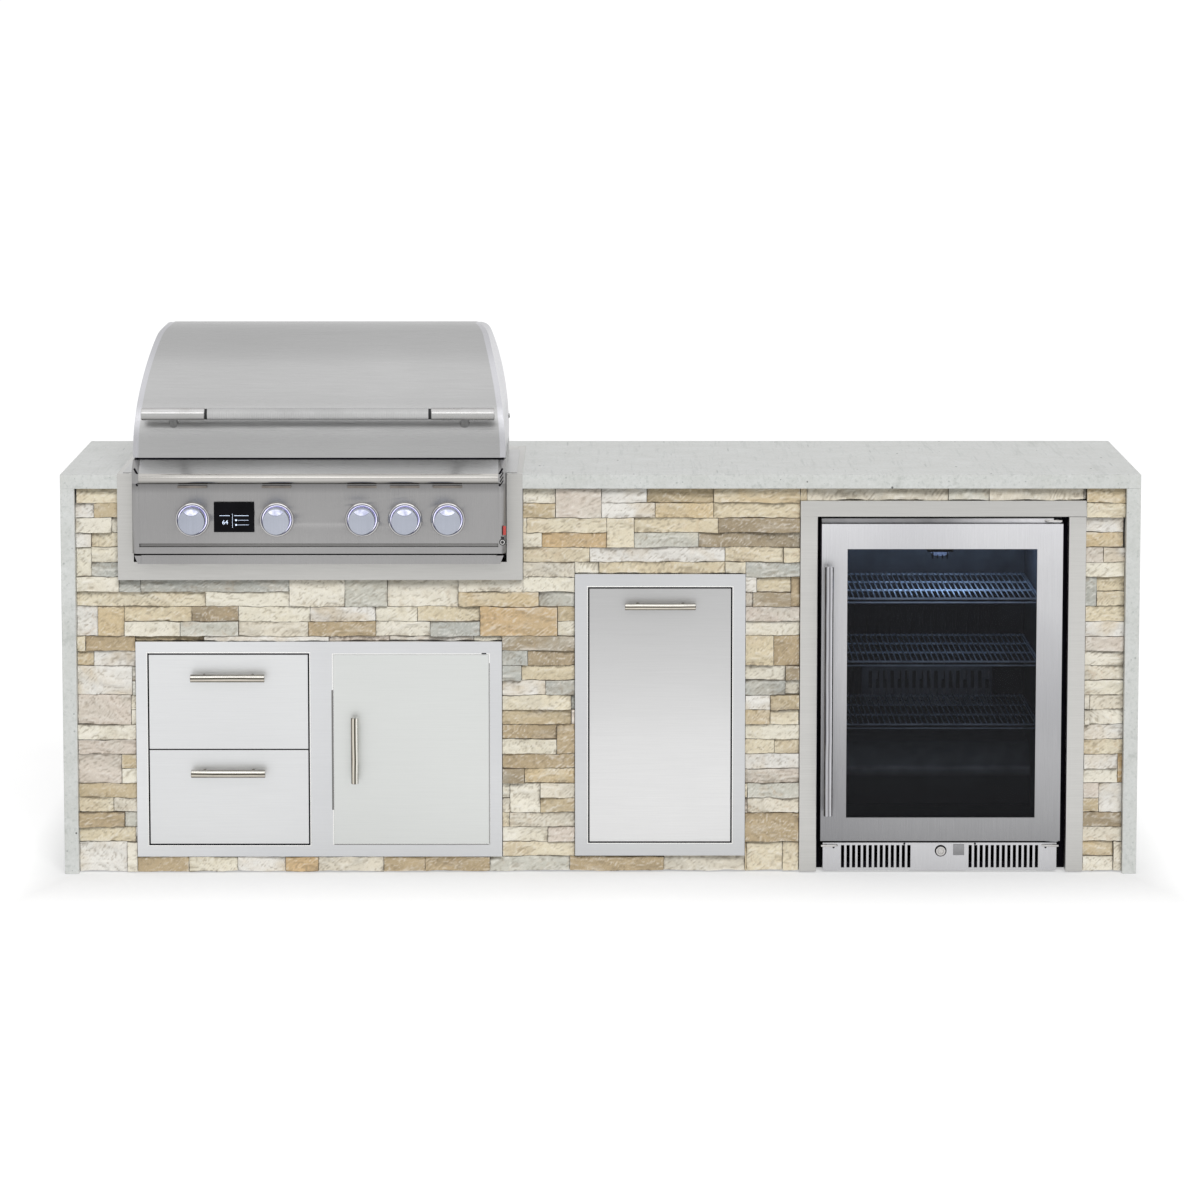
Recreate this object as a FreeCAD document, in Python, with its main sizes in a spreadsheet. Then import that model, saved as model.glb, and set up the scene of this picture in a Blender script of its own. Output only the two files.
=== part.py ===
"""Outdoor kitchen island with a built-in gas grill, drawers, a bin pull-out and a refrigerator.

All lengths are in millimetres. The origin is on the ground in the middle of the island's
footprint, knobs included. X runs to the right, Y to the back and Z up.
"""
import FreeCAD, Part
import math
import os
import random
import re

import Sketcher
from FreeCAD import Placement, Rotation, Vector

# Driving sizes: alias, value, meaning
SIZES = [
    ("counter_length", 2438, "length of the stone top"),
    ("counter_depth", 762, "depth of the stone top"),
    ("counter_height", 914, "ground to the top face"),
    ("slab_thick", 32, "thickness of the top and of the side slabs"),
    ("stone_setback", 25, "slab edge to the mean face of the ledger stones"),
    ("stone_thick", 28, "mean thickness of a ledger stone"),
    ("stone_relief", 8, "how far a stone stands out from or back from the mean face"),
    ("stone_lift", 3, "ground to the lowest stones and boards"),
    ("stone_joint", 0.6, "open joint between two stones"),
    ("stone_shim", 1, "stones to the underside of the top"),
    ("course_count", 26, "courses of ledger stone"),
    ("stone_short", 60, "shortest stone that is two courses tall"),
    ("stone_spread", 150, "how much longer such a stone may be"),
    ("pair_short", 200, "shortest pair of stones in one course"),
    ("pair_spread", 340, "how much longer such a pair may be"),
    ("stone_least", 4, "smallest length and height of a stone"),
    ("panel_rows", 6, "rows of ledger panels on the back"),
    ("panel_length", 610, "length of a ledger panel"),
    ("board_thick", 12, "cement board behind the stones"),
    ("board_gap", 3, "cement board to a cabinet that passes through it"),
    ("tube_side", 40, "side of a frame tube"),
    ("tube_wall", 2, "wall of a frame tube"),
    ("foot_height", 20, "ground to the lowest frame tube"),
    ("foot_width", 36, "width of a levelling foot"),
    ("foot_pad", 8, "thickness of a levelling foot"),
    ("stud_width", 12, "width of a foot's stud"),
    ("sheet", 2, "thickness of the steel sheet"),
    ("fit_gap", 0.3, "running clearance"),

    ("grill_end", 167, "end of the stone top to the control panel"),
    ("grill_width", 838, "width of hood and control panel"),
    ("grill_deck", 950, "ground to the grill's deck"),
    ("jacket_side", 13, "end of the control panel to the side of the insulated jacket"),
    ("jacket_depth", 600, "jacket depth from the slab edge"),
    ("jacket_low", 700, "ground to the bottom of the jacket"),
    ("jacket_trim_side", 25, "side of the jacket to the edge of its front plate"),
    ("jacket_trim_low", 675, "ground to the bottom of the jacket's front plate"),
    ("jacket_mouth_low", 716, "ground to the opening in the jacket's front plate"),
    ("notch_gap", 2, "stone top to the jacket"),
    ("flange_width", 25, "jacket flange that lies on the stone top"),
    ("firebox_side", 30, "end of the control panel to the side of the firebox"),
    ("firebox_front", 15, "slab edge to the front of the firebox"),
    ("firebox_depth", 505, "depth of the firebox"),
    ("firebox_low", 745, "ground to the bottom of the firebox"),
    ("cheek_height", 100, "height of the cheeks above the deck"),
    ("cheek_length", 220, "length of the cheeks"),
    ("ledge_width", 20, "width of the ledges inside the firebox"),
    ("ledge_thick", 8, "thickness of the ledges inside the firebox"),
    ("drain_side", 40, "side of the drip tray to the drain opening"),
    ("drain_length", 280, "length of the drain opening"),

    ("panel_proud", 62, "slab edge to the face of the control panel"),
    ("panel_low", 742, "ground to the bottom of the control panel"),
    ("panel_deck", 18, "slab edge to the front of the flat deck"),
    ("panel_cap", 16, "width of a panel end cap, and its chamfer"),
    ("nose_radius", 13.5, "radius of the rounded front edge"),
    ("nose_proud", 6, "face of the panel to the middle of the rounded edge"),
    ("nose_height", 911.5, "ground to the middle of the rounded edge"),
    ("groove_low", 757, "ground to the bottom of the panel's groove"),
    ("groove_width", 8, "height of the panel's groove"),
    ("groove_deep", 6, "depth of the panel's groove"),

    ("knob_height", 819, "ground to the knob axes"),
    ("knob_width", 60, "width of a knob"),
    ("knob_reach", 42, "panel face to the front of a knob"),
    ("knob_back", 4, "panel face to the back of a knob"),
    ("knob_wall", 12, "face of a knob to the end of its stem"),
    ("bezel_width", 78, "width of the lit ring round a knob"),
    ("bezel_bore", 65, "opening of the lit ring"),
    ("bezel_proud", 6, "panel face to the front of the lit ring"),
    ("stem_width", 8, "width of a valve stem"),
    ("stem_fit", 0.08, "stem to knob, all round"),
    ("stem_hole", 12, "side of the panel's hole round a stem"),
    ("valve_size", 28, "side of a valve body"),
    ("valve_front", 22, "panel face to the front of a valve body"),
    ("valve_depth", 34, "length of a valve body"),
    ("stem_hold", 6, "how deep a stem sits in its valve"),
    ("push_travel", 3, "how far a knob pushes in"),
    ("pipe_width", 20, "width of the gas pipe"),
    ("pipe_setback", 14, "slab edge to the axis of the gas pipe"),
    ("spud_width", 10, "width of the gas jet holder"),
    ("knob_1_place", -283, "grill middle to the first knob"),
    ("knob_2_place", -94, "grill middle to the second knob"),
    ("knob_3_place", 98, "grill middle to the third knob"),
    ("knob_4_place", 194, "grill middle to the fourth knob, for the rear burner"),
    ("knob_5_place", 290, "grill middle to the fifth knob"),
    ("lamp_width", 66, "width of the light bar above a knob"),
    ("lamp_thick", 5, "height of the light bar"),
    ("lamp_proud", 4, "depth of the light bar"),
    ("lamp_drop", 18.5, "middle of the rounded edge to the middle of the light bars"),
    ("display_place", -189.5, "grill middle to the middle of the display"),
    ("display_width", 91, "width of the display"),
    ("display_tall", 68, "height of the display"),
    ("display_height", 825, "ground to the middle of the display"),
    ("display_proud", 3, "depth of the display"),
    ("switch_width", 9, "width of the light switch"),
    ("switch_tall", 20, "height of the light switch"),
    ("switch_thick", 4, "depth of the light switch"),
    ("switch_proud", 2, "how far it stands out of the panel's end"),
    ("switch_room", 2, "room behind it to tilt"),
    ("switch_play", 0.5, "room beside it to tilt"),
    ("switch_height", 794, "ground to the middle of the light switch"),

    ("burner_width", 28, "width of a tube burner"),
    ("burner_height", 812, "ground to the burner axes"),
    ("burner_start", 8, "slab edge to the mouth of a burner"),
    ("burner_length", 492, "length of a tube burner"),
    ("tamer_drop", 87, "underside of the grates to the feet of the flame tamers"),
    ("tamer_width", 150, "width of a flame tamer"),
    ("tamer_rise", 30, "height of a flame tamer's ridge"),
    ("grate_height", 925, "ground to the underside of the cooking grates"),
    ("grate_thick", 10, "thickness of the cooking grates"),
    ("grate_count", 4, "cooking grates side by side"),
    ("grate_gap", 2, "gap beside a cooking grate"),
    ("grate_slots", 8, "slots in a cooking grate"),
    ("grate_slot", 13, "width of a slot"),
    ("grate_border", 10, "solid border of a grate"),
    ("rack_height", 1035, "ground to the underside of the warming rack"),
    ("rack_thick", 6, "thickness of the warming rack"),
    ("rack_length", 160, "front to back of the warming rack"),
    ("rack_slots", 20, "slots in the warming rack"),
    ("rack_slot", 30, "width of a slot in the rack"),
    ("rear_burner_low", 965, "ground to the bottom of the rear burner"),
    ("rear_burner_tall", 65, "height of the rear burner"),
    ("rear_burner_side", 49, "side of the firebox to the rear burner"),
    ("rear_burner_deep", 18, "depth of the rear burner"),
    ("tray_side", 119, "end of the control panel to the side of the drip tray"),
    ("tray_length", 470, "slab edge to the back of the drip tray"),
    ("tray_low", 718.3, "ground to the underside of the drip tray"),
    ("tray_deep", 15, "height of the drip tray"),
    ("tray_front", 58, "slab edge to the face of the drip tray"),
    ("tray_lip", 100, "how much wider the tray's face is than the tray, each side"),

    ("hood_low", 954, "ground to the lower edge of the hood"),
    ("hood_height", 281, "height of the hood"),
    ("hood_front", 14, "slab edge to the front of the hood"),
    ("hood_straight", 26, "straight part of the hood's front edge"),
    ("hood_crown", 300, "slab edge to the crown of the hood"),
    ("hood_back", 546, "slab edge to the back of the hood"),
    ("hood_back_low", 1060, "ground to the lower edge of the hood's back"),
    ("hood_inset", 73, "how far the hood draws in at its top, each side"),
    ("hood_front_radius", 190, "lower bend of the hood's front"),
    ("hood_rear_radius", 120, "lower bend of the hood's back"),
    ("hood_end_radius", 850, "bow of the hood's ends"),
    ("hood_strip", 25, "width of the end cap's front strip"),
    ("hood_clear", 10, "how far the hood's two outlines reach past each other"),
    ("hood_skin_proud", 1.2, "front skin over the end caps"),
    ("hood_pivot", 500, "slab edge to the hood's hinge"),
    ("hood_pivot_height", 1000, "ground to the hood's hinge"),
    ("hood_heel", 44, "radius of the end cap round the hinge"),
    ("hood_pin", 10, "width of the hinge pin"),
    ("hood_pin_fit", 0.08, "hinge pin to its hole, all round"),
    ("hood_boss", 24, "width of the hinge boss"),
    ("hood_handle_height", 1057, "ground to the hood handle"),
    ("hood_handle_reach", 62, "slab edge to the axis of the hood handle"),
    ("hood_handle_end", 23.5, "end of the control panel to the end of the hood handle"),
    ("hood_handle_width", 28, "width of the hood handle"),
    ("hood_post_end", 91.5, "end of the control panel to a handle post"),
    ("hood_post_width", 17, "width of a handle post"),

    ("frame_front", 14, "slab edge to the face of the drawer frames"),
    ("front_thick", 20, "thickness of drawer fronts and doors"),
    ("front_gap", 3, "gap round drawer fronts and doors"),
    ("skin", 1.5, "sheet of drawer fronts and doors"),
    ("storage_out", 2, "how far the storage frame reaches past the control panel"),
    ("storage_in", 10, "end of the storage frame to the end of the control panel"),
    ("storage_low", 38, "ground to the storage frame"),
    ("storage_tall", 494, "height of the storage frame"),
    ("storage_border", 27, "border of the storage frame"),
    ("drawer_bay", 366, "width of the drawer opening"),
    ("mullion", 52, "width of the upright between drawers and door"),
    ("storage_depth", 507, "depth of the storage cabinet behind its frame"),
    ("drawer_length", 460, "length of a drawer box"),
    ("drawer_tall", 150, "height of a drawer box"),
    ("drawer_lift", 12, "underside of a drawer front to the drawer box"),
    ("rail_length", 450, "length of the drawer rails"),
    ("rail_start", 6, "front of a cabinet to its rails"),
    ("rail_tall", 46, "height of the outer rail"),
    ("rail_wall", 1.2, "wall of the rails"),
    ("rail_depth", 12.7, "width of a closed set of rails"),
    ("rail_rise", 62, "underside of a drawer box to the middle of its rails"),
    ("bar_width", 12, "width of a drawer's handle bar"),
    ("bar_reach", 34, "front to the axis of a handle bar"),
    ("post_width", 9, "width of a handle post"),
    ("drawer_bar_length", 168, "length of a drawer's handle"),
    ("drawer_bar_drop", 49, "top of a drawer front to its handle"),
    ("door_bar_length", 151, "length of the door's handle"),
    ("door_bar_place", 49, "edge of the door to its handle"),
    ("door_bar_height", 287, "ground to the middle of the door's handle"),
    ("door_pin_inset", 5, "edge of the door to its hinge axis"),
    ("door_pin_back", 4, "face of the door to its hinge axis"),
    ("door_pin", 5, "width of the door's hinge pin"),
    ("door_pin_fit", 0.08, "hinge pin to its hole, all round"),

    ("trash_near", 118, "front plate of the jacket to the bin frame, across"),
    ("trash_far", 124, "bin frame to the refrigerator's trim"),
    ("trash_low", 40, "ground to the bin frame"),
    ("trash_tall", 646, "height of the bin frame"),
    ("trash_border", 30, "border of the bin frame"),
    ("trash_depth", 540, "depth of the bin cabinet behind its frame"),
    ("trash_rail_length", 500, "length of the bin pull-out's rails"),
    ("trash_bar_drop", 37, "top of the front to its handle"),
    ("cradle_tall", 200, "height of the bin cradle"),
    ("cradle_length", 490, "length of the bin cradle"),
    ("bin_tall", 440, "height of a bin"),
    ("bin_wall", 3, "wall of a bin"),
    ("bin_taper", 12, "how far a bin draws in at its foot, each side"),
    ("bin_gap", 8, "clearance beside a bin"),

    ("fridge_end", 444, "end of the stone top to the middle of the refrigerator's trim"),
    ("fridge_trim_width", 646, "outside width of the trim"),
    ("fridge_trim_top", 853, "ground to the top of the trim"),
    ("fridge_mouth_width", 568, "width of the trim's opening"),
    ("fridge_mouth_top", 817, "ground to the top of the trim's opening"),
    ("fridge_door_gap", 9, "trim to the handle side of the door"),
    ("fridge_door_width", 545, "width of the door"),
    ("fridge_door_low", 75, "ground to the door"),
    ("fridge_door_tall", 726, "height of the door"),
    ("fridge_door_thick", 42, "thickness of the door"),
    ("fridge_door_front", 6, "slab edge to the face of the door"),
    ("glass_side", 58, "edge of the door to the glass"),
    ("glass_base", 54, "foot of the door to the glass"),
    ("glass_head", 57, "head of the door to the glass"),
    ("glass_lap", 6, "how far the frame laps over the glass"),
    ("glass_thick", 20, "thickness of the glass unit"),
    ("glass_back", 6, "face of the door to the glass"),
    ("gasket_thick", 10, "thickness of the door gasket"),
    ("gasket_width", 14, "width of the door gasket"),
    ("gasket_inset", 14, "edge of the door to the gasket"),
    ("cabinet_overlap", 2, "cabinet past the door, each side"),
    ("cabinet_top", 812, "ground to the top of the cabinet"),
    ("cabinet_depth", 560, "depth of the cabinet"),
    ("cabinet_wall", 42, "insulated wall of the cabinet"),
    ("cabinet_floor", 100, "ground to the floor of the cold space"),
    ("cabinet_foot", 12, "ground to the base plate"),
    ("step_place", 200, "back of the cabinet to the compressor step"),
    ("step_height", 240, "ground to the top of the compressor step"),
    ("step_wall", 25, "wall of the compressor step"),
    ("compressor_width", 150, "width of the compressor"),
    ("compressor_tall", 140, "height of the compressor"),
    ("shelf_low", 328, "ground to the lowest shelf"),
    ("shelf_pitch", 145, "height from shelf to shelf"),
    ("shelf_thick", 5, "thickness of a shelf"),
    ("shelf_slots", 12, "slots in a shelf"),
    ("shelf_front", 30, "front of the cabinet to the shelves"),
    ("shelf_length", 450, "front to back of a shelf"),
    ("shelf_wire", 5, "width of a shelf wire"),
    ("fridge_ledge", 10, "width of the ledges that carry the shelves"),
    ("fan_cover_width", 340, "width of the fan cover"),
    ("fan_cover_tall", 200, "height of the fan cover"),
    ("fan_cover_thick", 14, "depth of the fan cover"),
    ("fan_cover_low", 345, "ground to the fan cover"),
    ("fan_slots", 12, "slots in the fan cover"),
    ("cabin_lamp", 70, "width of the lamp in the refrigerator"),
    ("fridge_bar_width", 20, "width of the refrigerator's handle"),
    ("fridge_bar_reach", 45, "door to the axis of its handle"),
    ("fridge_bar_place", 15, "edge of the door to its handle"),
    ("fridge_bar_low", 140, "ground to the foot of the handle"),
    ("fridge_bar_length", 569, "length of the handle"),
    ("fridge_bar_post", 28, "end of the handle to its post"),
    ("hinge_inset", 12, "edge of the door to its hinge axis"),
    ("hinge_back", 21, "face of the door to its hinge axis"),
    ("hinge_pin", 8, "width of the hinge pin"),
    ("hinge_pin_fit", 0.08, "hinge pin to its hole, all round"),
    ("hinge_pin_deep", 16, "how deep a pin stands in the door"),
    ("hinge_plate", 3, "thickness of a hinge plate"),
    ("hinge_gap", 1, "hinge plate to the door"),
    ("toe_side", 6, "edge of the door to the end of the toe grille"),
    ("toe_low", 5, "ground to the toe grille"),
    ("toe_top", 69, "ground to the top of the toe grille"),
    ("toe_front", 20, "slab edge to the face of the toe grille"),
    ("toe_slots", 13, "slots in one group of the toe grille"),
    ("toe_slot", 7, "width of a slot"),
    ("toe_pitch", 12.6, "slot to slot"),
    ("toe_border", 6, "edge of the grille to the ends of its slots"),
    ("toe_group", 42, "end of the grille to the first slot"),
    ("lock_width", 22, "width of the door lock"),
    ("lock_proud", 6, "face of the grille to the face of the lock"),
    ("lock_height", 50, "ground to the axis of the lock"),
]

# Places worked out from the sizes
PLACES = {
    "front": "(panel_proud + knob_reach - counter_depth) / 2",
    "back": "front + counter_depth",
    "under_top": "counter_height - slab_thick",
    "inside": "counter_length / 2 - slab_thick",
    "half_frame": "inside - board_thick",
    "stone_face": "front + stone_setback",
    "board_front": "stone_face + stone_thick",
    "tubes_front": "board_front + board_thick",
    "rear_board": "back - stone_setback - stone_thick",
    "tubes_back": "rear_board - board_thick",

    "deck_half": "grill_width / 2",
    "grill_mid": "grill_end + deck_half - counter_length / 2",
    "jacket_half": "deck_half + jacket_side",
    "jacket_trim_half": "jacket_half + jacket_trim_side",
    "jacket_front": "front - sheet",
    "jacket_back": "front + jacket_depth",
    "mouth_half": "deck_half + sheet",
    "firebox_half": "deck_half - firebox_side",
    "firebox_in": "firebox_half - sheet",
    "firebox_face": "front + firebox_front",
    "firebox_back": "firebox_face + firebox_depth",
    "panel_face": "front - panel_proud",
    "knob_face": "panel_face - knob_reach",
    "valve_face": "panel_face + valve_front",
    "valve_back": "valve_face + valve_depth",
    "tray_half": "deck_half - tray_side",
    "tamer_height": "grate_height - tamer_drop",
    "pipe_axis": "front - pipe_setback",
    "pipe_height": "knob_height - valve_size / 2 - pipe_width / 2",

    "hood_axis": "front + hood_pivot",
    "hood_top": "hood_low + hood_height",
    "handle_axis": "front - hood_handle_reach",
    "hood_handle_half": "deck_half - hood_handle_end",
    "hood_post_place": "deck_half - hood_post_end",

    "frame_face": "front + frame_front",
    "storage_x": "grill_mid - deck_half - storage_out",
    "storage_end": "grill_mid + deck_half - storage_in",
    "storage_top": "storage_low + storage_tall",
    "bay_low": "storage_low + storage_border",
    "bay_top": "storage_top - storage_border",
    "bay_left": "storage_x + storage_border",
    "bay_right": "bay_left + drawer_bay",
    "door_bay_left": "bay_right + mullion",
    "door_bay_right": "storage_end - storage_border",
    "storage_back": "board_front + storage_depth",
    "front_back": "frame_face + front_thick",
    "drawer_split": "(bay_low + bay_top) / 2",
    "door_left": "door_bay_left + front_gap",
    "door_right": "door_bay_right - front_gap",
    "door_axis_x": "door_right - door_pin_inset",
    "door_axis_y": "frame_face + door_pin_back",

    "fridge_place": "counter_length / 2 - fridge_end",
    "fridge_trim_left": "fridge_place - fridge_trim_width / 2",
    "fridge_trim_right": "fridge_place + fridge_trim_width / 2",

    "trash_left": "grill_mid + jacket_trim_half + trash_near",
    "trash_end": "fridge_trim_left - trash_far",
    "trash_top": "trash_low + trash_tall",
    "bin_left": "trash_left + trash_border",
    "bin_right": "trash_end - trash_border",
    "bin_low": "trash_low + trash_border",
    "bin_top": "trash_top - trash_border",
    "trash_back": "board_front + trash_depth",

    "fridge_mouth_left": "fridge_place - fridge_mouth_width / 2",
    "fridge_mouth_right": "fridge_place + fridge_mouth_width / 2",
    "fridge_door_left": "fridge_mouth_left + fridge_door_gap",
    "fridge_door_right": "fridge_door_left + fridge_door_width",
    "fridge_door_top": "fridge_door_low + fridge_door_tall",
    "fridge_door_face": "front + fridge_door_front",
    "fridge_door_back": "fridge_door_face + fridge_door_thick",
    "cabinet_face": "fridge_door_back + gasket_thick + fit_gap",
    "cabinet_back": "cabinet_face + cabinet_depth",
    "cabinet_left": "fridge_door_left - cabinet_overlap",
    "cabinet_right": "fridge_door_right + cabinet_overlap",
    "cold_left": "cabinet_left + cabinet_wall",
    "cold_right": "cabinet_right - cabinet_wall",
    "cold_top": "cabinet_top - cabinet_wall",
    "cold_back": "cabinet_back - cabinet_wall",
    "step_face": "cabinet_back - step_place",
    "hinge_x": "fridge_door_right - hinge_inset",
    "hinge_y": "fridge_door_face + hinge_back",
    "toe_left": "fridge_door_left + toe_side",
    "toe_right": "fridge_door_right - toe_side",
    "toe_face": "front + toe_front",

    "post_1": "-(half_frame)",
    "post_2": "grill_mid - jacket_half - board_gap - notch_gap - tube_side",
    "post_3": "(grill_mid + jacket_trim_half + trash_left) / 2 - tube_side / 2",
    "post_4": "(trash_end + fridge_trim_left) / 2 - tube_side / 2",
    "post_5": "half_frame - tube_side",
}

DOC = FreeCAD.newDocument("outdoor_kitchen_island")
SHEET = DOC.addObject("Spreadsheet::Sheet", "sizes")
PLACE_SET = DOC.addObject("App::VarSet", "places")
ALIASES = {alias for alias, size, words in SIZES}
NODES = {}


def fill_sheet():
    """Write the driving sizes into the sheet and the places beside it."""
    for row, (alias, size, words) in enumerate(SIZES, 1):
        SHEET.set(f"A{row}", words)
        SHEET.set(f"B{row}", str(size))
        SHEET.setAlias(f"B{row}", alias)
    for place, text in PLACES.items():
        PLACE_SET.addProperty("App::PropertyFloat", place)
        PLACE_SET.setExpression(place, formula(text))
    DOC.recompute()


def formula(text):
    """Turn words such as 'front + sheet' into an expression on the sheet and the places."""
    def owner(match):
        word = match.group(0)
        if word in ALIASES:
            return "sizes." + word
        if word in PLACES:
            return "places." + word
        return word
    return re.sub(r"[a-z_][a-z_0-9]*", owner, str(text))


def value(text):
    """The number that a formula gives."""
    number = SHEET.evalExpression(formula(text))
    return float(getattr(number, "Value", number))


def span(middle, width):
    """The two ends of a width about its middle."""
    return f"({middle}) - ({width}) / 2", f"({middle}) + ({width}) / 2"


def reach(wall, side, near, far):
    """The two ends of a stretch that starts near a wall and runs to the side, +1 or -1."""
    if side > 0:
        return f"({wall}) + ({near})", f"({wall}) + ({far})"
    return f"({wall}) - ({far})", f"({wall}) - ({near})"


def block(name, x, y, z):
    """A rectangular block between three pairs of places."""
    box = DOC.addObject("Part::Box", name)
    for size, edge, (low, high) in (("Length", "x", x), ("Width", "y", y), ("Height", "z", z)):
        box.setExpression(size, formula(f"({high}) - ({low})"))
        box.setExpression(f".Placement.Base.{edge}", formula(low))
    return box


TURNS = {
    "x": Rotation(Vector(0, 1, 0), 90),
    "y": Rotation(Vector(1, 0, 0), -90),
    "z": Rotation(),
}


def rod(name, axis, along, across, width):
    """A round bar along one axis, between two places, with its middle at the other two."""
    bar = DOC.addObject("Part::Cylinder", name)
    bar.Placement = Placement(Vector(), TURNS[axis])
    bar.setExpression("Radius", formula(f"({width}) / 2"))
    lay_along(bar, axis, along, across)
    return bar


def hexagon(name, axis, along, across, width):
    """A six-sided bar along one axis, its width taken over the corners."""
    bar = DOC.addObject("Part::Prism", name)
    bar.Polygon = 6
    bar.Placement = Placement(Vector(), TURNS[axis])
    bar.setExpression("Circumradius", formula(f"({width}) / 2"))
    lay_along(bar, axis, along, across)
    return bar


def lay_along(bar, axis, along, across):
    """Bind a bar's length and place."""
    bar.setExpression("Height", formula(f"({along[1]}) - ({along[0]})"))
    bar.setExpression(f".Placement.Base.{axis}", formula(along[0]))
    others = [edge for edge in "xyz" if edge != axis]
    for edge, place in zip(others, across):
        bar.setExpression(f".Placement.Base.{edge}", formula(place))


def pack_up(name, pieces):
    """Several solids side by side as one object."""
    bundle = DOC.addObject("Part::Compound", name)
    bundle.Links = list(pieces)
    return bundle


def fuse(name, *pieces):
    """Several solids grown into one."""
    whole = DOC.addObject("Part::MultiFuse", name)
    whole.Shapes = list(pieces)
    whole.Refine = True
    return whole


def cut(name, base, *tools):
    """A solid with one or more tools taken away, where the tools don't touch each other."""
    rest = DOC.addObject("Part::Cut", name)
    rest.Base = base
    rest.Tool = tools[0] if len(tools) == 1 else pack_up(name + "_tools", tools)
    return rest


def node(label, *pieces):
    """Name a finished sub-part, made of one solid or of several that are fastened together."""
    part = pieces[0] if len(pieces) == 1 else pack_up(label, pieces)
    part.Label = label
    NODES[label] = part
    return part


def shaped(name, shape):
    """A feature with a shape that is worked out from the sheet."""
    feature = DOC.addObject("Part::Feature", name)
    feature.Shape = shape
    return feature


def arc_middle(start, end, radius):
    """The point halfway along an arc that bulges to the right of the way from start to end."""
    chord = end - start
    sideways = Vector(chord.y, -chord.x, 0).normalize()
    rise = abs(radius) - math.sqrt(max(radius * radius - chord.Length ** 2 / 4, 0))
    return (start + end) * 0.5 + sideways * (rise if radius > 0 else -rise)


def outline(body, plane, points, offset):
    """A sketch on a body's own plane, every corner bound to its two formulas.

    A corner with a third formula starts an arc of that radius to the next corner. The arc
    bulges to the right of its way, or to the left where the radius is negative.
    """
    sketch = body.newObject("Sketcher::SketchObject", body.Name + "_outline")
    origin = next(piece for piece in body.Origin.OriginFeatures if piece.Role == plane)
    sketch.AttachmentSupport = [(origin, "")]
    sketch.MapMode = "FlatFace"
    sketch.setExpression(".AttachmentOffset.Base.z", formula(offset))
    corners = [Vector(value(point[0]), value(point[1]), 0) for point in points]
    starts = []
    for index, point in enumerate(points):
        here, there = corners[index], corners[(index + 1) % len(corners)]
        if len(point) == 3:
            middle = arc_middle(here, there, value(point[2]))
            sketch.addGeometry(Part.Arc(here, middle, there), False)
            drawn = sketch.Geometry[-1]
            starts.append(1 if (drawn.StartPoint - here).Length < 1e-6 else 2)
        else:
            sketch.addGeometry(Part.LineSegment(here, there), False)
            starts.append(1)
    for index, start in enumerate(starts):
        after = (index + 1) % len(starts)
        link = Sketcher.Constraint("Coincident", index, 3 - start, after, starts[after])
        sketch.addConstraint(link)
    for index, point in enumerate(points):
        for kind, text in (("DistanceX", point[0]), ("DistanceY", point[1])):
            place = Sketcher.Constraint(kind, -1, 1, index, starts[index], value(text))
            sketch.setExpression(f"Constraints[{sketch.addConstraint(place)}]", formula(text))
        if len(point) == 3:
            size = f"abs({point[2]})"
            bend = Sketcher.Constraint("Radius", index, value(size))
            sketch.setExpression(f"Constraints[{sketch.addConstraint(bend)}]", formula(size))
    return sketch


def padded(name, plane, points, start, length):
    """A body padded from an outline, over a length that begins at a place."""
    body = DOC.addObject("PartDesign::Body", name)
    sketch = outline(body, plane, points, start)
    pad = body.newObject("PartDesign::Pad", name + "_pad")
    pad.Profile = sketch
    pad.setExpression("Length", formula(length))
    return body


def tube(name, axis, x, y, z):
    """A square frame tube along one axis."""
    outer = block(name + "_outside", x, y, z)
    inner_spans = []
    for edge, ends in (("x", x), ("y", y), ("z", z)):
        if edge == axis:
            inner_spans.append(ends)
        else:
            inner_spans.append((f"({ends[0]}) + tube_wall", f"({ends[1]}) - tube_wall"))
    return cut(name, outer, block(name + "_hollow", *inner_spans))


def slotted(name, x, y, z, axis, slots):
    """A plate with slots cut right through it along an axis, each slot a pair of spans."""
    plate = block(name + "_plate", x, y, z)
    tools = []
    for first, second in slots:
        spans = {"y": (first, y, second), "z": (first, second, z)}[axis]
        tools.append(block(name + "_slot", *spans))
    return cut(name, plate, *tools)


def slot_row(left, right, count, width):
    """Spans of evenly spaced slots between two places."""
    pitch = f"(({right}) - ({left}) - ({width})) / ({count} - 1)"
    return [(f"({left}) + {index} * {pitch}", f"({left}) + {index} * {pitch} + ({width})")
            for index in range(count)]


# Stone island

def post_places():
    return ["post_1", "post_2", "post_3", "post_4", "post_5"]


def frame_row(row, y, front_row):
    """Posts and rails of one face of the frame."""
    pieces = []
    posts = post_places()
    for post in posts:
        pieces.append(tube(f"{row}_{post}", "z", (post, f"{post} + tube_side"), y,
                           ("foot_height", "under_top")))
    for index in range(len(posts) - 1):
        x = (f"{posts[index]} + tube_side", posts[index + 1])
        if not (front_row and index == 3):
            pieces.append(tube(f"{row}_low_rail", "x", x, y,
                               ("foot_height", "foot_height + tube_side")))
        if not (front_row and index == 1):
            pieces.append(tube(f"{row}_high_rail", "x", x, y,
                               ("under_top - tube_side", "under_top")))
    pieces.append(tube(f"{row}_grill_rail", "x", ("post_2 + tube_side", "post_3"), y,
                       ("jacket_low - tube_side", "jacket_low")))
    return pieces


def base_frame():
    front_y = ("tubes_front", "tubes_front + tube_side")
    back_y = ("tubes_back - tube_side", "tubes_back")
    between = ("tubes_front + tube_side", "tubes_back - tube_side")
    pieces = frame_row("front", front_y, True) + frame_row("back", back_y, False)
    for post in post_places():
        x = (post, f"{post} + tube_side")
        pieces.append(tube("low_tie", "y", x, between, ("foot_height", "foot_height + tube_side")))
        pieces.append(tube("high_tie", "y", x, between, ("under_top - tube_side", "under_top")))
    node("base_frame", *pieces)


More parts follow.
